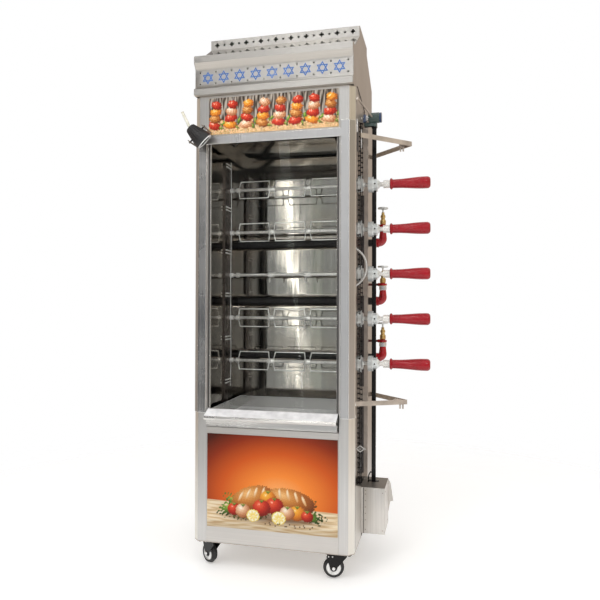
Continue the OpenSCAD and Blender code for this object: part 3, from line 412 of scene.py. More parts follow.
RIND = [(0.0, (0.95, 0.80, 0.22)), (1.2, (0.80, 0.58, 0.08))]
PITH = [(0.0, (0.99, 0.96, 0.82)), (1.2, (0.95, 0.88, 0.62))]
FLESH = [(0.0, (0.98, 0.86, 0.40)), (1.2, (0.86, 0.64, 0.14))]
SLASH = [(0.0, (0.99, 0.84, 0.58)), (1.2, (0.72, 0.40, 0.16))]
OLIVE = [(0, (0.16, 0.08, 0.05)), (1, (0.012, 0.006, 0.004))]
SKEWER = [(0, (0.95, 0.93, 0.9)), (1, (0.4, 0.38, 0.36))]
GROUND = [(0, (0.98, 0.46, 0.16)), (85, (0.90, 0.25, 0.035)), (175, (0.60, 0.09, 0.008)),
          (250, (0.24, 0.022, 0.003)), (310, (0.05, 0.004, 0.002))]
WOOD = [(0, (0.66, 0.46, 0.25)), (0.5, (0.82, 0.64, 0.40)), (1, (0.90, 0.76, 0.54))]
GRILL = [(0, (0.03, 0.025, 0.02)), (0.6, (0.19, 0.16, 0.13)), (1, (0.45, 0.40, 0.34))]
RICE = [(0, (0.34, 0.10, 0.03)), (0.3, (0.88, 0.42, 0.18)), (0.55, (0.99, 0.78, 0.48)),
        (0.8, (0.90, 0.55, 0.30)), (1, (0.25, 0.33, 0.08))]


def lemon_half(p, x, y, size):
    p.shape(x, y, size, size * 0.92, RIND)
    p.shape(x, y, size * 0.88, size * 0.8, PITH)
    for k in range(8):
        turn = 45 * k + 14
        cos, sin = math.cos(math.radians(turn)), math.sin(math.radians(turn))
        p.shape(x + 0.44 * size * cos, y + 0.40 * size * sin, size * 0.34, size * 0.15, FLESH, turn)


def lower_picture(p):
    """Orange ground lit from behind, a pale board, and a heap of roasted vegetables round two loaves."""
    p.cover(p.toned(np.hypot((p.x - 30) * 0.8, (p.y - 125) * 1.15), GROUND))
    wood = p.toned(p.cloud(9, stretch=(14, 1)), WOOD)
    wood *= np.interp(p.y, [0, 22, 30, 92], [0.72, 0.80, 1.0, 0.92])[:, None]
    p.lay((92 - 0.03 * p.x - p.y) / 1.5, wood)
    for x, wide in ((-60, 130), (60, 140)):
        p.shadow(x, 44, wide, 20)
    for x, y, wide, high, turn in ((-150, 74, 44, 22, 24), (-122, 92, 48, 18, -24), (138, 68, 50, 18, -10),
                                   (-70, 56, 60, 16, 8), (122, 88, 40, 18, 32), (152, 60, 30, 12, -30)):
        p.shape(x, y, wide, high, LEAF, turn, 0.42, grain=14)
    p.shape(-64, 112, 84, 46, CRUST, 14)
    p.shape(72, 112, 92, 44, CRUST, -9)
    for x, y, turn in ((-112, 118, 62), (-84, 128, 66), (-56, 136, 72), (-28, 138, 78),
                       (34, 136, 98), (64, 136, 102), (94, 130, 108), (122, 118, 114)):
        p.shape(x, y, 19, 5, SLASH, turn, 0.12)
    for x, y, r, inks in ((-10, 118, 30, PEPPER), (14, 92, 34, TOMATO), (-34, 82, 33, TOMATO),
                          (-138, 70, 25, TOMATO), (-104, 66, 28, ONION), (98, 72, 30, PEPPER),
                          (62, 70, 27, ONION), (134, 64, 22, TOMATO)):
        p.shadow(x, y - r * 0.9, r * 1.1, r * 0.35, 0.5)
        p.shape(x, y, r, r * 0.9, inks)
        for turn in (-48, 0, 48):
            p.shape(x + 5 * math.sin(math.radians(turn)), y + r * 0.72, 2.2, 7, LEAF, -turn)
    lemon_half(p, -66, 52, 24)
    lemon_half(p, 30, 50, 26)
    for k in range(16):
        x = -20 + 11.5 * k + 5 * math.sin(k * 2.3)
        p.shape(x, 26 + 5 * math.sin(k * 1.7), 2.6, 2.5, OLIVE)


def upper_picture(p):
    """Skewers of roasted vegetables in a row, over rice and herbs, before a dark grill."""
    p.cover(p.toned(p.cloud(12, stretch=(0.6, 5)), GRILL))
    rice = p.toned(p.cloud(5.5, 14), RICE)
    p.lay((40 + 26 * (p.cloud(46) - 0.5) - p.y) / 3, rice)
    motifs = (TOMATO, CRUST, PEPPER, TOMATO, ONION)
    for k in range(8):
        x = -216 + k * 61.5
        p.shape(x, 74, 1.3, 66, SKEWER, -6)
        for level in range(4):
            inks, turn = motifs[(2 * k + level) % 5], -8 + 12 * ((k + level) % 3 - 1)
            place = (x - 5 + level * 2.8, 32 + level * 25)
            p.shape(*place, 26 - level * 2, 15.5, inks, turn, 0.12, grain=12, mottle=0.5)
        p.shape(x + 30, 40 + 8 * (k % 2), 15, 6, LEAF, 40 + 25 * (k % 3), 0.4)
        p.shape(x + 22, 22, 9, 4, LEAF, -20 - 25 * (k % 3), 0.4)


# ---------------------------------------------------------------- making pieces


def keep(name, solid, finishes, body, smooth=40):
    """Makes the piece from its bmesh, gives it its finishes and lets it ride on its body."""
    mesh = bpy.data.meshes.new(name)
    solid.to_mesh(mesh)
    solid.free()
    for finish in finishes if isinstance(finishes, (list, tuple)) else [finishes]:
        mesh.materials.append(finish)
    mesh.shade_smooth()
    mesh.set_sharp_from_angle(angle=math.radians(smooth))
    piece = bpy.data.objects.new(name, mesh)
    bpy.context.scene.collection.objects.link(piece)
    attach(piece, body)
    return piece


def dressed(node, finishes, edge=0.0, pick=None, smooth=35, edge_finish=-1):
    """The node's own shape, merged, with softened edges.

    pick(centre, normal) chooses the number of a face's finish.
    """
    source = frame["nodes"][node]
    solid = bmesh.new()
    solid.from_mesh(source.data)
    bmesh.ops.remove_doubles(solid, verts=solid.verts, dist=2e-6)
    for face in solid.faces:
        face.material_index = int(pick(face.calc_center_median(), face.normal)) if pick else 0
    bmesh.ops.dissolve_limit(solid, angle_limit=math.radians(0.3), verts=solid.verts, edges=solid.edges,
                             delimit={"NORMAL", "MATERIAL"})
    piece = keep(node + "_piece", solid, finishes, source["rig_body"], smooth)
    if edge:
        soft = piece.modifiers.new("soft_edges", "BEVEL")
        soft.width = edge * MM
        soft.segments = 2
        soft.limit_method = "ANGLE"
        soft.angle_limit = math.radians(38)
        soft.use_clamp_overlap = False
        soft.harden_normals = True
        soft.material = edge_finish
    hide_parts(node)


def new_since(solid, before):
    """The solid's points that aren't in an earlier set of them."""
    return [v for v in solid.verts if v not in before]


def turned(solid, outline, centre, axis=(0, 0, 1), steps=32):
    """Spins an outline of (radius, height) steps round an axis through centre."""
    before = set(solid.verts)
    rim = [solid.verts.new((r * MM, 0, h * MM)) for r, h in outline]
    edges = [solid.edges.new(pair) for pair in zip(rim, rim[1:])]
    bmesh.ops.spin(solid, geom=rim + edges, cent=(0, 0, 0), axis=(0, 0, 1), angle=2 * math.pi, steps=steps,
                   use_merge=True, use_duplicate=False)
    bmesh.ops.remove_doubles(solid, verts=new_since(solid, before), dist=1e-7)
    made = new_since(solid, before)
    lift = Vector(axis).normalized().to_track_quat("Z", "Y").to_matrix().to_4x4()
    bmesh.ops.transform(solid, verts=made, matrix=Matrix.Translation(centre) @ lift)
    bmesh.ops.recalc_face_normals(solid, faces=list({f for v in made for f in v.link_faces}))


def tube(solid, path, radius, sides=12):
    """Sweeps a ring along the points of a path and closes its ends. radius may be a function of the step."""
    last = None
    for i, p in enumerate(path):
        ahead = (path[min(i + 1, len(path) - 1)] - path[max(i - 1, 0)]).normalized()
        size = (radius(i) if callable(radius) else radius) * MM
        ring = bmesh.ops.create_circle(solid, cap_ends=False, segments=sides, radius=size)["verts"]
        turn = old.rotation_difference(ahead) @ turn if last else ahead.to_track_quat("Z", "Y")
        old = ahead
        bmesh.ops.transform(solid, verts=ring, matrix=Matrix.Translation(p) @ turn.to_matrix().to_4x4())
        loop = list({e for v in ring for e in v.link_edges})
        if last:
            bmesh.ops.bridge_loops(solid, edges=last + loop)
        else:
            first = loop
        last = loop
    bmesh.ops.contextual_create(solid, geom=first)
    bmesh.ops.contextual_create(solid, geom=last)


def rounded_box(solid, low, high, edge=0.5):
    made = bmesh.ops.create_cube(solid, size=1.0)["verts"]
    middle, size = (Vector(low) + Vector(high)) / 2, Vector(high) - Vector(low)
    bmesh.ops.transform(solid, verts=made, matrix=Matrix.Translation(middle) @ Matrix.Diagonal((*size, 1)))
    if edge:
        edges = list({e for v in made for e in v.link_edges})
        bmesh.ops.bevel(solid, geom=edges, offset=edge * MM, segments=2, profile=0.5, affect="EDGES",
                        material=-1)


def plate(solid, corners, pull):
    """A flat plate with these corners, in metres, pulled to its thickness."""
    face = solid.faces.new([solid.verts.new(corner) for corner in corners])
    made = bmesh.ops.extrude_face_region(solid, geom=[face])["geom"]
    moved = [v for v in made if isinstance(v, bmesh.types.BMVert)]
    bmesh.ops.translate(solid, verts=moved, vec=Vector(pull) * MM)
    bmesh.ops.recalc_face_normals(solid, faces=solid.faces)


def domed_heads(solid, places, radius=2.6, height=1.4, axis=(0, -1, 0)):
    """Domed rivet or screw heads that sit on a face."""
    arch = [(radius * math.cos(a), height * math.sin(a)) for a in (0, 0.4, 0.8, 1.2)]
    for place in places:
        turned(solid, [(0.0, -0.4), (radius, -0.4)] + arch + [(0.0, height)], place, axis, 14)


def boxes(name, corners, finish, edge=0.5):
    """A piece of the cabinet made of boxes, each from its low corner to its high one, in millimetres."""
    solid = bmesh.new()
    for low, high in corners:
        rounded_box(solid, spot(*low), spot(*high), edge)
    keep(name, solid, finish, "cabinet")


def printed_sheet(name, low, high, painter, seed, step=1.8):
    """A thin plate whose front carries a picture, finely divided so that the inks stay crisp."""
    corner, far = spot(*low), spot(*high)
    wide, tall = far.x - corner.x, far.z - corner.z
    solid = bmesh.new()
    squares = {"x_segments": round(wide / MM / step), "y_segments": round(tall / MM / step)}
    grid = bmesh.ops.create_grid(solid, size=0.5, **squares)["verts"]
    bmesh.ops.scale(solid, verts=grid, vec=(wide, tall, 1))
    bmesh.ops.rotate(solid, verts=grid, cent=(0, 0, 0), matrix=Matrix.Rotation(math.pi / 2, 3, "X"))
    bmesh.ops.translate(solid, verts=grid, vec=((corner.x + far.x) / 2, corner.y, (corner.z + far.z) / 2))
    rim = [e for e in solid.edges if e.is_boundary]
    walls = bmesh.ops.extrude_edge_only(solid, edges=rim)["geom"]
    moved = [v for v in walls if isinstance(v, bmesh.types.BMVert)]
    bmesh.ops.translate(solid, verts=moved, vec=(0, far.y - corner.y, 0))
    bmesh.ops.contextual_create(solid, geom=[e for e in solid.edges if e.is_boundary])
    bmesh.ops.recalc_face_normals(solid, faces=solid.faces)
    piece = keep(name, solid, printed, "cabinet")
    places = np.array([v.co for v in piece.data.vertices])
    paint = Painter((places[:, 0] - MIDDLE_X) / MM, (places[:, 2] - corner.z) / MM, seed)
    painter(paint)
    inks = np.c_[np.clip(paint.ink, 0, 1), np.ones(len(places))].astype(np.float32)
    piece.data.color_attributes.new("ink", "FLOAT_COLOR", "POINT").data.foreach_set("color", inks.ravel())
    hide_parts("picture_plates")


# ---------------------------------------------------------------- view, floor and light


def show(name, data):
    made = bpy.data.objects.new(name, data)
    bpy.context.scene.collection.objects.link(made)
    return made


def set_camera():
    heading, tilt, roll = (math.radians(degrees) for degrees in (13.575, 0.596, -0.194))
    camera = show("camera", bpy.data.cameras.new("camera"))
    camera.data.lens = 35.95
    camera.data.sensor_width = 36
    camera.data.clip_end = 60
    camera.location = spot(604.4, -2067.5, 966.2)
    ahead = Vector((-math.sin(heading), math.cos(heading), math.tan(tilt)))
    camera.rotation_mode = "QUATERNION"
    camera.rotation_quaternion = Quaternion(ahead.normalized(), roll) @ ahead.to_track_quat("-Z", "Y")
    bpy.context.scene.camera = camera


def lamp(name, place, aim, size, power, colour=(1, 1, 1), mirrored=False):
    data = bpy.data.lights.new(name, "AREA")
    data.shape = "RECTANGLE"
    data.size, data.size_y = size
    data.energy = power
    data.color = colour
    made = show(name, data)
    made.location = spot(*place)
    made.rotation_euler = (spot(*aim) - spot(*place)).to_track_quat("-Z", "Y").to_euler()
    made.visible_glossy = mirrored
    made.visible_transmission = mirrored


def set_lamps():
    lamp("key", (-1500, -2600, 2900), (0, 100, 1100), (1.6, 1.6), 17)
    lamp("fill", (2600, -900, 1900), (200, 200, 1000), (1.4, 1.8), 9, (1.0, 0.95, 0.88))
    lamp("inner", (0, -900, 1500), (0, 250, 540), (0.5, 0.5), 4.5)
    lamp("top", (0, 200, 3600), (0, 200, 0), (1.8, 1.8), 7)
    lamp("spark", (900, -2300, 2700), (350, 200, 1100), (0.26, 0.26), 3.5, mirrored=True)


# The mirrored room from its floor, -1, to its ceiling, 1
FRONT_ROOM = [(-1.0, (0.92, 0.88, 0.82)), (-0.34, (0.95, 0.89, 0.82)), (-0.24, (0.80, 0.78, 0.75)),
              (-0.12, (0.56, 0.57, 0.58)), (0.08, (0.54, 0.56, 0.58)), (0.22, (0.62, 0.63, 0.66)),
              (0.42, (0.86, 0.855, 0.84)), (1.0, (0.92, 0.90, 0.87))]
LEFT_ROOM = [(-1.0, (0.9, 0.84, 0.76)), (-0.36, (0.86, 0.79, 0.71)), (-0.22, (0.14, 0.12, 0.12)),
             (0.0, (0.14, 0.11, 0.09)), (0.24, (0.34, 0.25, 0.18)), (0.5, (0.62, 0.55, 0.47)),
             (1.0, (0.8, 0.76, 0.7))]
RIGHT_ROOM = [(-1.0, (0.95, 0.88, 0.80)), (-0.40, (0.98, 0.90, 0.82)), (-0.25, (0.72, 0.60, 0.49)),
              (0.0, (0.52, 0.42, 0.33)), (0.30, (0.40, 0.32, 0.23)), (0.40, (0.85, 0.76, 0.56)),
              (0.6, (0.85, 0.78, 0.62)), (1.0, (0.8, 0.76, 0.7))]
BACK_ROOM = (0.62, 0.53, 0.45)


def set_room():
    """The eye sees white, rough surfaces get even light, and metal mirrors a furnished room."""
    world = bpy.data.worlds.new("studio")
    world.use_nodes = True
    bpy.context.scene.world = world
    room = Nodes(world.node_tree)
    rays = room.node("ShaderNodeLightPath").outputs
    parts = room.node("ShaderNodeSeparateXYZ")
    room.join(room.node("ShaderNodeTexCoord").outputs["Generated"], parts.inputs[0])
    # The way that a mirrored ray goes: forward of the oven is -y
    x, y, z = parts.outputs

    def eased(value, low, high):
        return room.between(value, low, high, smooth=True)

    def off(value, middle):
        return room.maths("ABSOLUTE", room.maths("SUBTRACT", value, middle))

    def both(a, b):
        return room.maths("MULTIPLY", a, b)

    front = room.ramp(z, FRONT_ROOM)
    # A dim wall far to the left, with a dark bench at its foot
    leftward = eased(x, -0.29, -0.35)
    front = room.blend(both(leftward, eased(z, -0.24, -0.18)), front, (0.17, 0.17, 0.175))
    front = room.blend(both(leftward, eased(off(z, -0.155), 0.09, 0.02)), front, (0.03, 0.03, 0.03))
    # A bright strip across, a pale upright, and daylight through an upright gap that widens upwards
    front = room.blend(eased(off(z, 0.217), 0.018, 0.010), front, (1.7, 1.6, 1.45))
    aside = room.maths("DIVIDE", x, y)
    front = room.blend(eased(off(aside, 0.211), 0.010, 0.006), front, (0.80, 0.86, 0.80))
    gap_middle = room.maths("ADD", both(z, 0.083), 0.2495)
    gap_half = room.maths("ADD", both(room.maths("MAXIMUM", z, -0.1), 0.02), 0.0045)
    in_gap = room.maths("LESS_THAN", off(aside, gap_middle), gap_half)
    front = room.blend(in_gap, front, (7.5, 7.3, 7.0))

    mirrored = room.blend(eased(x, -0.50, -0.85), front, room.ramp(z, LEFT_ROOM))
    mirrored = room.blend(eased(x, 0.40, 0.80), mirrored, room.ramp(z, RIGHT_ROOM))
    mirrored = room.blend(both(eased(y, -0.10, 0.40), eased(z, 0.80, 0.45)), mirrored, BACK_ROOM)
    lit = room.blend(rays["Is Glossy Ray"], (0.74, 0.74, 0.745), mirrored)
    ground = room.tree.nodes["Background"]
    room.join(room.blend(rays["Is Camera Ray"], lit, (1.0, 1.0, 1.0)), ground.inputs["Color"])
    ground.inputs["Strength"].default_value = 1.0


def set_floor():
    """A pale round floor that glows a little and fades out round its rim."""
    disc = bmesh.new()
    bmesh.ops.create_circle(disc, cap_ends=True, segments=64, radius=6)
    bmesh.ops.translate(disc, verts=disc.verts, vec=(0, 0, -0.0005))
    mesh = bpy.data.meshes.new("floor")
    disc.to_mesh(mesh)
    disc.free()
    f = Finish("pale_floor", (0.90, 0.90, 0.895), 0.6)
    f.colour(f.blend(f.noise(3, 2), (0.91, 0.91, 0.905), (0.89, 0.89, 0.885)))
    rays = f.node("ShaderNodeLightPath").outputs
    glow = f.node("ShaderNodeEmission")
    glow.inputs["Color"].default_value = (1, 0.97, 0.93, 1)
    seen = f.maths("MAXIMUM", rays["Is Camera Ray"], rays["Is Glossy Ray"])
    f.join(f.maths("MULTIPLY", seen, 0.30), glow.inputs["Strength"])
    lifted = f.node("ShaderNodeAddShader")
    f.join(f.shader.outputs[0], lifted.inputs[0])
    f.join(glow.outputs[0], lifted.inputs[1])
    away = f.node("ShaderNodeVectorMath", operation="LENGTH")
    f.join(f.place, away.inputs[0])
    fading = f.between(away.outputs["Value"], 1.1, 2.6, smooth=True)
    f.mix_surface(fading, lifted.outputs[0], f.node("ShaderNodeBsdfTransparent").outputs[0])
    mesh.materials.append(f.material)
    show("floor", mesh)


# ---------------------------------------------------------------- the oven

liner = polished()
tyre = rubber()
black_body = housing()
cream = sleeve()
pane = clear_pane()
printed = printed_ink()

RIGHT = (1, 0, 0)
SPITS = range(1, 6)
SIDE_X = 300  # the outside of the right side panel


def across(point):
    """How far a point stands from the cabinet's middle, in millimetres."""
    return (point.x - MIDDLE_X) / MM


def behind(point):
    """How far a point stands behind the cabinet's front face, in millimetres."""
    return (point.y - FRONT_Y) / MM


def about(node):
    """The middle of a node's box."""
    low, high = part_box(node)
    return (low + high) / 2


def level(x, point):
    """The place x millimetres across, at another point's depth and height."""
    return Vector((MIDDLE_X + x * MM, point.y, point.z))


def from_axle(point, hub, axle):
    """How far a point stands from an axle, and how far along it from the hub, in millimetres."""
    out = point - hub
    along = out.dot(axle)
    return (out - axle * along).length / MM, abs(along) / MM


def body_of(node):
    return frame["nodes"][node]["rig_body"]


def pivot_of(joint):
    """Where a joint turns, and round which way."""
    found = next(j for j in frame["joints"] if j["name"] == joint)
    return Vector(found["pos_m"]), Vector(found["axis"]).normalized()


def cabinet():
    for node, finish, edge in (
        ("left_side_panel", side_steel, 0.6), ("back_panel", side_steel, 0.5), ("base_plate", side_steel, 0.6),
        ("top_panel", side_steel, 0.5), ("lower_front_panel", front_steel, 0.8),
        ("header_panel", front_steel, 0.4), ("side_liners", liner, 0.4), ("cavity_decks", liner, 0.4),
        ("reflectors", liner, 0), ("vent_grille", hood_steel, 0.3), ("side_brackets", member_steel, 0.4),
        ("star_trim", star_blue, 0), ("burner_tubes", burner_iron, 0), ("gas_manifold", pipe_paint, 0),
        ("venturi_elbows", elbow_red, 0), ("gearmotor", motor_paint, 0.6), ("lamp_bracket", bracket_steel, 0.3),
        ("window_glass", pane, 0),
    ):
        dressed(node, finish, edge)

    def in_bay(c, n):
        """The open drive bay's back wall, and the underside of its roof: a lighter, less metallic copy of the
        side steel as painted light in the recess.
        """
        return n.y < -0.7 and behind(c) > 60 or n.z < -0.7 and c.z > 1.5

    def frame_finish(c, n):
        """The glass guides behind the frame's face, near-black as painted shade in their recess, and its left
        stile, a darker copy of the frame steel as painted shade.
        """
        if behind(c) > 1 and abs(across(c)) < 247.5:
            return 2
        return 3 if across(c) < -252 else 0

    def on_slope(c, n):
        return n.z > 0.6 and n.y < -0.3 and behind(c) > 0

    dressed("right_side_panel", [side_steel, bay_painted_light_steel], 0.6, in_bay)
    # The drip tray's upward faces take the painted-light finish
    dressed("drip_tray", [tray_steel, tray_top_painted_light], 0.5, lambda c, n: n.z > 0.5)
    # painted shade: the spit rest's faces next to the left wall take the near-black finish
    dressed("spit_rest", [rest_painted_shade, bar_steel], 0, lambda c, n: across(c) > -251.5)
    dressed("corner_posts", [post_steel, chamfer_light_steel], 0.8, lambda c, n: 0.3 < abs(n.x) < 0.9 and n.y < -0.3)
    # The frame's bevels take the second finish, a painted highlight; its guides and left stile take
    # painted-shade finishes
    frame_finishes = [frame_steel, bend_highlight, channel_painted_shade, left_stile_shaded]
    dressed("window_frame", frame_finishes, 1.6, frame_finish, edge_finish=1)
    dressed("hood_fascia", [hood_steel, slope_steel], 0.5, on_slope, smooth=20)
    dressed("hood_shell", [hood_steel, hood_side_steel], 0.6, lambda c, n: abs(n.x) > 0.7)


def cavity_fittings():
    """The flue's baffle under the roof, and the bright strip high on the back wall."""
    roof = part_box("cavity_decks")[1].z / MM
    boxes("flue_baffle", [((-205, 120, roof - 12), (205, 345, roof - 10.8))], liner, 0.4)
    boxes("heat_strip", [((-28, 371, 1508), (249, 373.4, 1552))], strip_steel)


def pictures():
    low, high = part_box("picture_plates")
    half = (high.x - low.x) / 2 / MM
    printed_sheet("lower_picture", (-half, -1.5, 160), (half, 0, 499), lower_picture, 3)
    printed_sheet("upper_picture", (-half, -1.5, 1597), (half, 0, 1732), upper_picture, 5, 1.5)


def outer_screws():
    back = behind(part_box("back_panel")[1])
    solid = bmesh.new()
    places = [spot(side * 288, back, 170 + 190 * k) for side in (-1, 1) for k in range(9)]
    domed_heads(solid, places, 3.2, 1.2, (0, 1, 0))
    keep("back_rivets", solid, bolt_steel, "cabinet")
    solid = bmesh.new()
    domed_heads(solid, [spot(SIDE_X, 27, z) for z in (622, 580)], 4.2, 2.6, RIGHT)
    domed_heads(solid, [spot(SIDE_X + 4.5, 140, z) for z in (1570, 1664)], 4.0, 2.4, RIGHT)
    keep("post_screws", solid, bolt_steel, "cabinet")


def side_plates():
    """The plate behind the upper bracket, the bright edges beside it, and the plate over the panel's foot."""
    boxes("bracket_plate", [((SIDE_X, 46, 1520), (SIDE_X + 2.4, 84, 1632))], dark_paint_and_painted_light)
    edges = [((SIDE_X, 38, 1586), (SIDE_X + 3.5, 46, 1632)), ((SIDE_X, 150, 1556), (SIDE_X + 3.5, 156, 1626))]
    boxes("side_edges", edges, bar_steel)
    solid = bmesh.new()
    rounded_box(solid, spot(SIDE_X - 1.6, 38, 103), spot(SIDE_X - 0.2, 183, 289), 0)
    plate(solid, [spot(SIDE_X - 0.2, y, z) for y, z in ((38, 289), (183, 289), (38, 336))], (-1.4, 0, 0))
    keep("foot_plate", solid, cover_steel, "cabinet")


def bay_fittings():
    """Dark strips behind the chain as painted shade, a stay wire over the drive bay, and a cover on the bay's
    upper part.
    """
    shade_strips = [((267, 370.5, low), (284, 374, high)) for low, high in ((640, 1010), (1100, 1420), (290, 560))]
    boxes("chain_shade_strip", shade_strips, dark_paint_and_painted_light, 0.6)
    solid = bmesh.new()
    tube(solid, [spot(299.5, 52, 1752), spot(301.5, 60, 1748), spot(303.5, 239, 1716)], 1.5, 8)
    keep("stay_wire", solid, chain_and_shade_steel, "cabinet")
    idler_low, idler_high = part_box("idler_sprocket")
    idler_y, low_edge = behind(idler_low) - 6, idler_high.z / MM + 2
    high_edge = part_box("hood_shell")[0].z / MM - 0.5
    outline = ((38, low_edge - 98), (idler_y - 26, low_edge - 54), (idler_y, low_edge),
               (373, low_edge), (373, high_edge), (38, high_edge))
    solid = bmesh.new()
    plate(solid, [spot(SIDE_X - 1.6, y, z) for y, z in outline], (1.4, 0, 0))
    keep("bay_cover", solid, side_steel, "cabinet")


def rest_highlight_rod():
    """A thin bent rod beside the spit rest, inside the left wall: near-white, as a painted highlight along the
    rack's front edge.
    """
    solid = bmesh.new()
    tube(solid, [spot(-248.5, 256 + 3 * math.sin(k * 0.7), 640 + 61 * k) for k in range(16)], 1.3, 8)
    keep("rest_highlight_rod", solid, bar_steel, "cabinet")


def chain_covers():
    """Dark screens between the spits' hubs as painted shade, and a hood over the chain before each hub."""
    chain_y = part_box("drive_chain")[0].y
    hubs = [about(f"spit_{i}") for i in SPITS]
    near, heights = (chain_y - FRONT_Y) / MM, sorted(hub.z / MM for hub in hubs)
    spans = [(low + 34, high - 34) for low, high in zip(heights, heights[1:])]
    screens = [((276.8, near + 3, low), (278, near + 40, high)) for low, high in spans]
    boxes("chain_shade_screen", screens, chain_and_shade_steel, 0)
    arc = [math.radians(-50 + 100 / 12 * k) for k in range(13)]
    solid = bmesh.new()
    for hub in hubs:
        inner = (hub.y - chain_y) / MM + 1.2
        for left, right, thick in ((279, 294, 1.6), (279, 282, 4.2), (291, 294, 4.2)):
            rim = [(inner, a) for a in arc] + [(inner + thick, a) for a in reversed(arc)]
            corners = [level(left, hub) + Vector((0, -math.cos(a), math.sin(a))) * r * MM for r, a in rim]
            plate(solid, corners, (right - left, 0, 0))
    keep("chain_hoods", solid, zinc, "cabinet")


def drive():
    head_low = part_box("drive_post")[1].z - 0.052
    dressed("drive_post", [post_black, head_iron], 2.0, lambda c, n: c.z > head_low)
    axis = about("idler_sprocket")
    cap_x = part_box("idler_sprocket")[1].x - 0.0075

    def idler_finish(c, n):
        return 1 if c.x > cap_x else 2 if across(c) < 288 else 0

    dressed("idler_sprocket", [bolt_steel, cap_blue, chain_and_shade_steel], 0.4, idler_finish)
    dressed("drive_sprocket", chain_and_shade_steel)
    roller = [(10, -7), (14.5, -7), (15.5, -6), (15.5, 6), (14.5, 7), (10, 7)]
    solid = bmesh.new()
    turned(solid, roller, level(299, axis), RIGHT, 40)
    keep("idler_roller", solid, idler_blue, "idler")
    solid = bmesh.new()
    for x in (291.2, 306.2):
        turned(solid, [(10, 0), (13, 0), (13, 3.6), (12.2, 4.4), (10, 4.4)], level(x, axis), RIGHT)
    keep("idler_rings", solid, bolt_steel, "idler")
    dressed("drive_chain", chain_and_shade_steel)


def bearings():
    """The cast bearing blocks, each with a screw hole in its front whose walls are black as painted shade, and
    a set screw in the hole.
    """
    heights = [about(f"spit_{i}").z for i in SPITS]
    hole_x = 342

    def in_hole(c, n):
        off = min(abs(z - c.z) for z in heights) / MM
        return math.hypot(across(c) - hole_x, off) < 3.4 and abs(n.y) < 0.5 and behind(c) < 247

    # painted shade: the holes' walls take the black finish
    dressed("bearing_blocks", [zinc, black_and_painted_shade], 0.8, in_hole)
    screw = [(0, 0), (2.7, 0), (2.7, 3), (1.4, 3), (1.4, 1.5), (0, 1.5)]
    solid = bmesh.new()
    for z in heights:
        turned(solid, screw, spot(hole_x, 244, z / MM), (0, -1, 0), 12)
    keep("set_screws", solid, black_and_painted_shade, "cabinet")


def motor_box():
    """The sheet cover: its top darkened as painted shade, its front plate beside an open seam that a black
    strip darkens as painted shade, and its screws and side flap.
    """
    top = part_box("motor_cover")[1].z - 0.004
    front = 183.6
    # painted shade: the cover's upward top faces take the dark finish
    dressed("motor_cover", [cover_steel, cover_top_painted_shade], 0.7, lambda c, n: n.z > 0.7 and c.z > top)
    boxes("cover_plate", [((310, front, 116), (387, 185.2, 284))], cover_steel)
    # painted shade: a black strip set in the seam's gap
    boxes("cover_seam", [((307.2, 184.4, 116), (309.4, 185.3, 286))], black_and_painted_shade, edge=0.2)
    solid = bmesh.new()
    domed_heads(solid, [spot(316, front, z) for z in (130, 166, 190, 214, 238, 262, 276)], 1.9, 0.9)
    domed_heads(solid, [spot(380, front, z) for z in (130, 270)], 1.9, 0.9)
    domed_heads(solid, [spot(388, y, z) for y in (205, 310) for z in (130, 270)], 2.6, 1.2, RIGHT)
    keep("cover_screws", solid, bracket_steel, "cabinet")
    solid = bmesh.new()
    flap = ((387.6, 286), (397, 270), (408, 200), (396, 196), (387.6, 150))
    plate(solid, [spot(x, 326, z) for x, z in flap], (0, 1.6, 0))
    keep("cover_flap", solid, cover_steel, "cabinet")


def small_fittings():
    """The cable's hook on the cover, and the bent wire clip over it."""
    hook = ((318, 258, 283), (318, 258, 300), (319, 258, 312), (323, 257, 322), (327, 256, 327))
    solid = bmesh.new()
    tube(solid, [spot(*p) for p in hook], 2.2, 10)
    domed_heads(solid, [spot(327, 256, 326)], 3.2, 3.4, (0.7, 0, 0.7))
    keep("cover_hook", solid, post_black, "cabinet")
    outer = ((16, 1), (8, 6), (0, 12.5), (-6, 7), (-14, 0), (-6, -6), (1, -11), (8, -5), (15, 0), (22, 0.5))
    inner = ((-5, 1), (0, 5), (5, 1), (0, -4), (-5, 0))
    solid = bmesh.new()
    tube(solid, [spot(291 + x, 216 + 0.1 * x, 422 + z) for x, z in outer], 2.0, 8)
    tube(solid, [spot(291 + x, 216, 422 + z) for x, z in inner], 1.0, 8)
    keep("wire_clip", solid, clip_white, "cabinet")


def front_fork(name, hub, axle):
    """A swivelling fork: worn at its axle's ends, with bolt heads on both sides."""
    def worn(c, n):
        reach, along = from_axle(c, hub, axle)
        return reach < 4.4 and along > 16

    dressed(name + "_fork", [post_black, bolt_steel], 0.3, worn)
    swivel = pivot_of(name + "_swivel")[0]
    ahead = ((hub - swivel) * Vector((1, 1, 0))).normalized()
    crown = Vector((swivel.x, swivel.y, 79 * MM))
    solid = bmesh.new()
    for side in (-1, 1):
        for reach in (38, 24):
            place = crown + ahead * (reach * MM) + axle * (side * 16.2 * MM)
            domed_heads(solid, [place], 2.8, 1.6, axle * side)
        domed_heads(solid, [hub + axle * (side * 17.8 * MM)], 6.2, 2.2, axle * side)
    keep(name + "_fork_bolts", solid, bolt_steel, body_of(name + "_fork"))


def wheels():
    for name in ("front_left", "front_right", "rear_left", "rear_right"):
        end, side = name.split("_")
        hub, axle = pivot_of(f"wheel_{end[0]}{side[0]}_roll")

        def on_disc(c, n):
            return 13 < from_axle(c, hub, axle)[0] < 26

        dressed(name + "_wheel", [tyre, wheel_disc], 0, on_disc)
        if end == "front":
            front_fork(name, hub, axle)
    dressed("caster_mounts", post_black, 0.3)


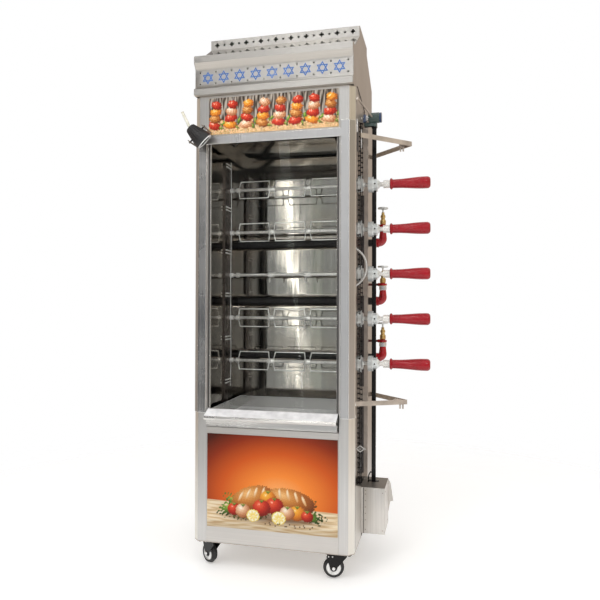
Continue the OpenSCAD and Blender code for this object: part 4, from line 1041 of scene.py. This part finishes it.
def gas():
    """The valves, whose parts are told apart by their height under the handwheel, and the handwheels."""
    rises = [about(f"handwheel_{i}").z for i in (1, 2, 3)]
    above = about("handwheel_1").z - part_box("handwheel_1")[1].z + 0.146
    stem_x, stem_y = 358, 400

    def finish(c, n):
        top = min((z for z in rises if z > c.z - 0.03), key=lambda z: z - c.z, default=rises[0])
        low = (c.z - top + above) / MM
        if low < 62.2:
            return 1
        return 2 if 63.5 < low < 73.5 and math.hypot(across(c) - stem_x, behind(c) - stem_y) > 9.5 else 0

    dressed("valve_bodies", [brass, bolt_steel, elbow_red], 0, finish)
    for i, rise in enumerate(rises, 1):
        def on_nut(c, n):
            return (rise - c.z) / MM > 5.5 and abs(across(c) - stem_x) < 4

        dressed(f"handwheel_{i}", [zinc, brass], 0, on_nut)


def spits():
    for i in SPITS:
        hub = about(f"spit_{i}")

        def finish(c, n):
            """Cast hub and collar on the rod, and the hub's toothed rim."""
            x, reach = across(c), math.hypot(c.y - hub.y, c.z - hub.z) / MM
            if abs(x - 284) < 3 and reach > 20.6:
                return 2
            return 1 if reach > 9 and (268 < x < 299 or 347 < x < 361) else 0

        dressed(f"spit_{i}", [spit_steel, zinc, chain_and_shade_steel], 0, finish)
        dressed(f"baskets_{i}", spit_steel)
        dressed(f"handle_{i}", grip_red, 2.2)


def lamp_fitting():
    """The work lamp: its cooling fins, lighter than its black body as painted highlight, its pale lens edge,
    white as painted highlight, and its cable's sleeve.
    """
    turn = Matrix.Rotation(math.radians(45), 4, "Y") @ Matrix.Rotation(math.radians(18), 4, "Z")
    place = Matrix.Translation(pivot_of("lamp_tilt")[0]) @ turn
    back = place.inverted()

    def finish(c, n):
        """The sleeve behind, the rim before, white as painted highlight, and the lens inside it."""
        here = back @ c
        along, reach = here.x / MM, math.hypot(here.y, here.z) / MM
        if along < -36.5:
            return 1
        if along > 34 and reach > 29:
            return 2
        return 3 if along > 28 and reach < 29.5 else 0

    dressed("lamp_head", [black_body, cream, clip_white, cream], 0, finish)
    rim = bmesh.new()
    turned(rim, [(25.5, 0), (31.4, 0), (31.4, 3), (25.5, 3), (25.5, 0)], (0.0355, 0, 0), RIGHT, 40)
    bmesh.ops.transform(rim, verts=rim.verts, matrix=place)
    # painted highlight: a white ring over the lens edge
    keep("lens_rim", rim, rim_highlight_white, body_of("lamp_head"))
    fin = ((-33, 10), (-33, 18.5), (-6, 26), (18, 32.5), (21, 32.5), (21, 10))
    solid = bmesh.new()
    for k in range(18):
        before = set(solid.verts)
        plate(solid, [Vector((x, 0, r)) * MM for x, r in fin], (0, 1.5, 0))
        turn = Matrix.Rotation(math.radians(20 * k), 3, "X")
        bmesh.ops.rotate(solid, verts=new_since(solid, before), cent=(0, 0, 0), matrix=turn)
    bmesh.ops.transform(solid, verts=solid.verts, matrix=place)
    # painted highlight: the fins take a lighter paint than the lamp's black body
    keep("lamp_fins", solid, dark_paint_and_painted_light, body_of("lamp_head"))


def cable_conduit():
    """The bowed flexible conduit between its two glands."""
    low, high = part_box("conduit")
    middle = (low + high) / 2
    foot_x, steps = 270, 120
    half = (high.z - low.z) / 2 / MM - 8
    bow = across(high) - foot_x - 4
    radius = (half * half + bow * bow) / (2 * bow)
    swing = math.asin(half / radius)
    centre = level(foot_x + bow - radius, middle)
    path = []
    for k in range(steps + 1):
        a = swing * (2 * k / steps - 1)
        path.append(centre + Vector((math.cos(a), 0, math.sin(a))) * radius * MM)
    solid = bmesh.new()
    tube(solid, path, lambda k: 3.9 if k % 3 else 3.2, 14)
    for side in (-1, 1):
        start = level(foot_x - 4, middle) + Vector((0, 0, side * half * MM))
        turned(solid, [(0, 0), (8, 0), (8, 4), (7, 4.6), (7, 9), (5.6, 10.4), (0, 10.4)], start, RIGHT, 6)
    piece = keep("conduit_piece", solid, clip_white, body_of("conduit"), smooth=50)
    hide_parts("conduit")


set_camera()
set_room()
set_floor()
set_lamps()
cabinet()
cavity_fittings()
pictures()
outer_screws()
side_plates()
bay_fittings()
rest_highlight_rod()
chain_covers()
drive()
bearings()
motor_box()
small_fittings()
wheels()
gas()
spits()
lamp_fitting()
cable_conduit()

bpy.context.scene.view_settings.view_transform = "Standard"
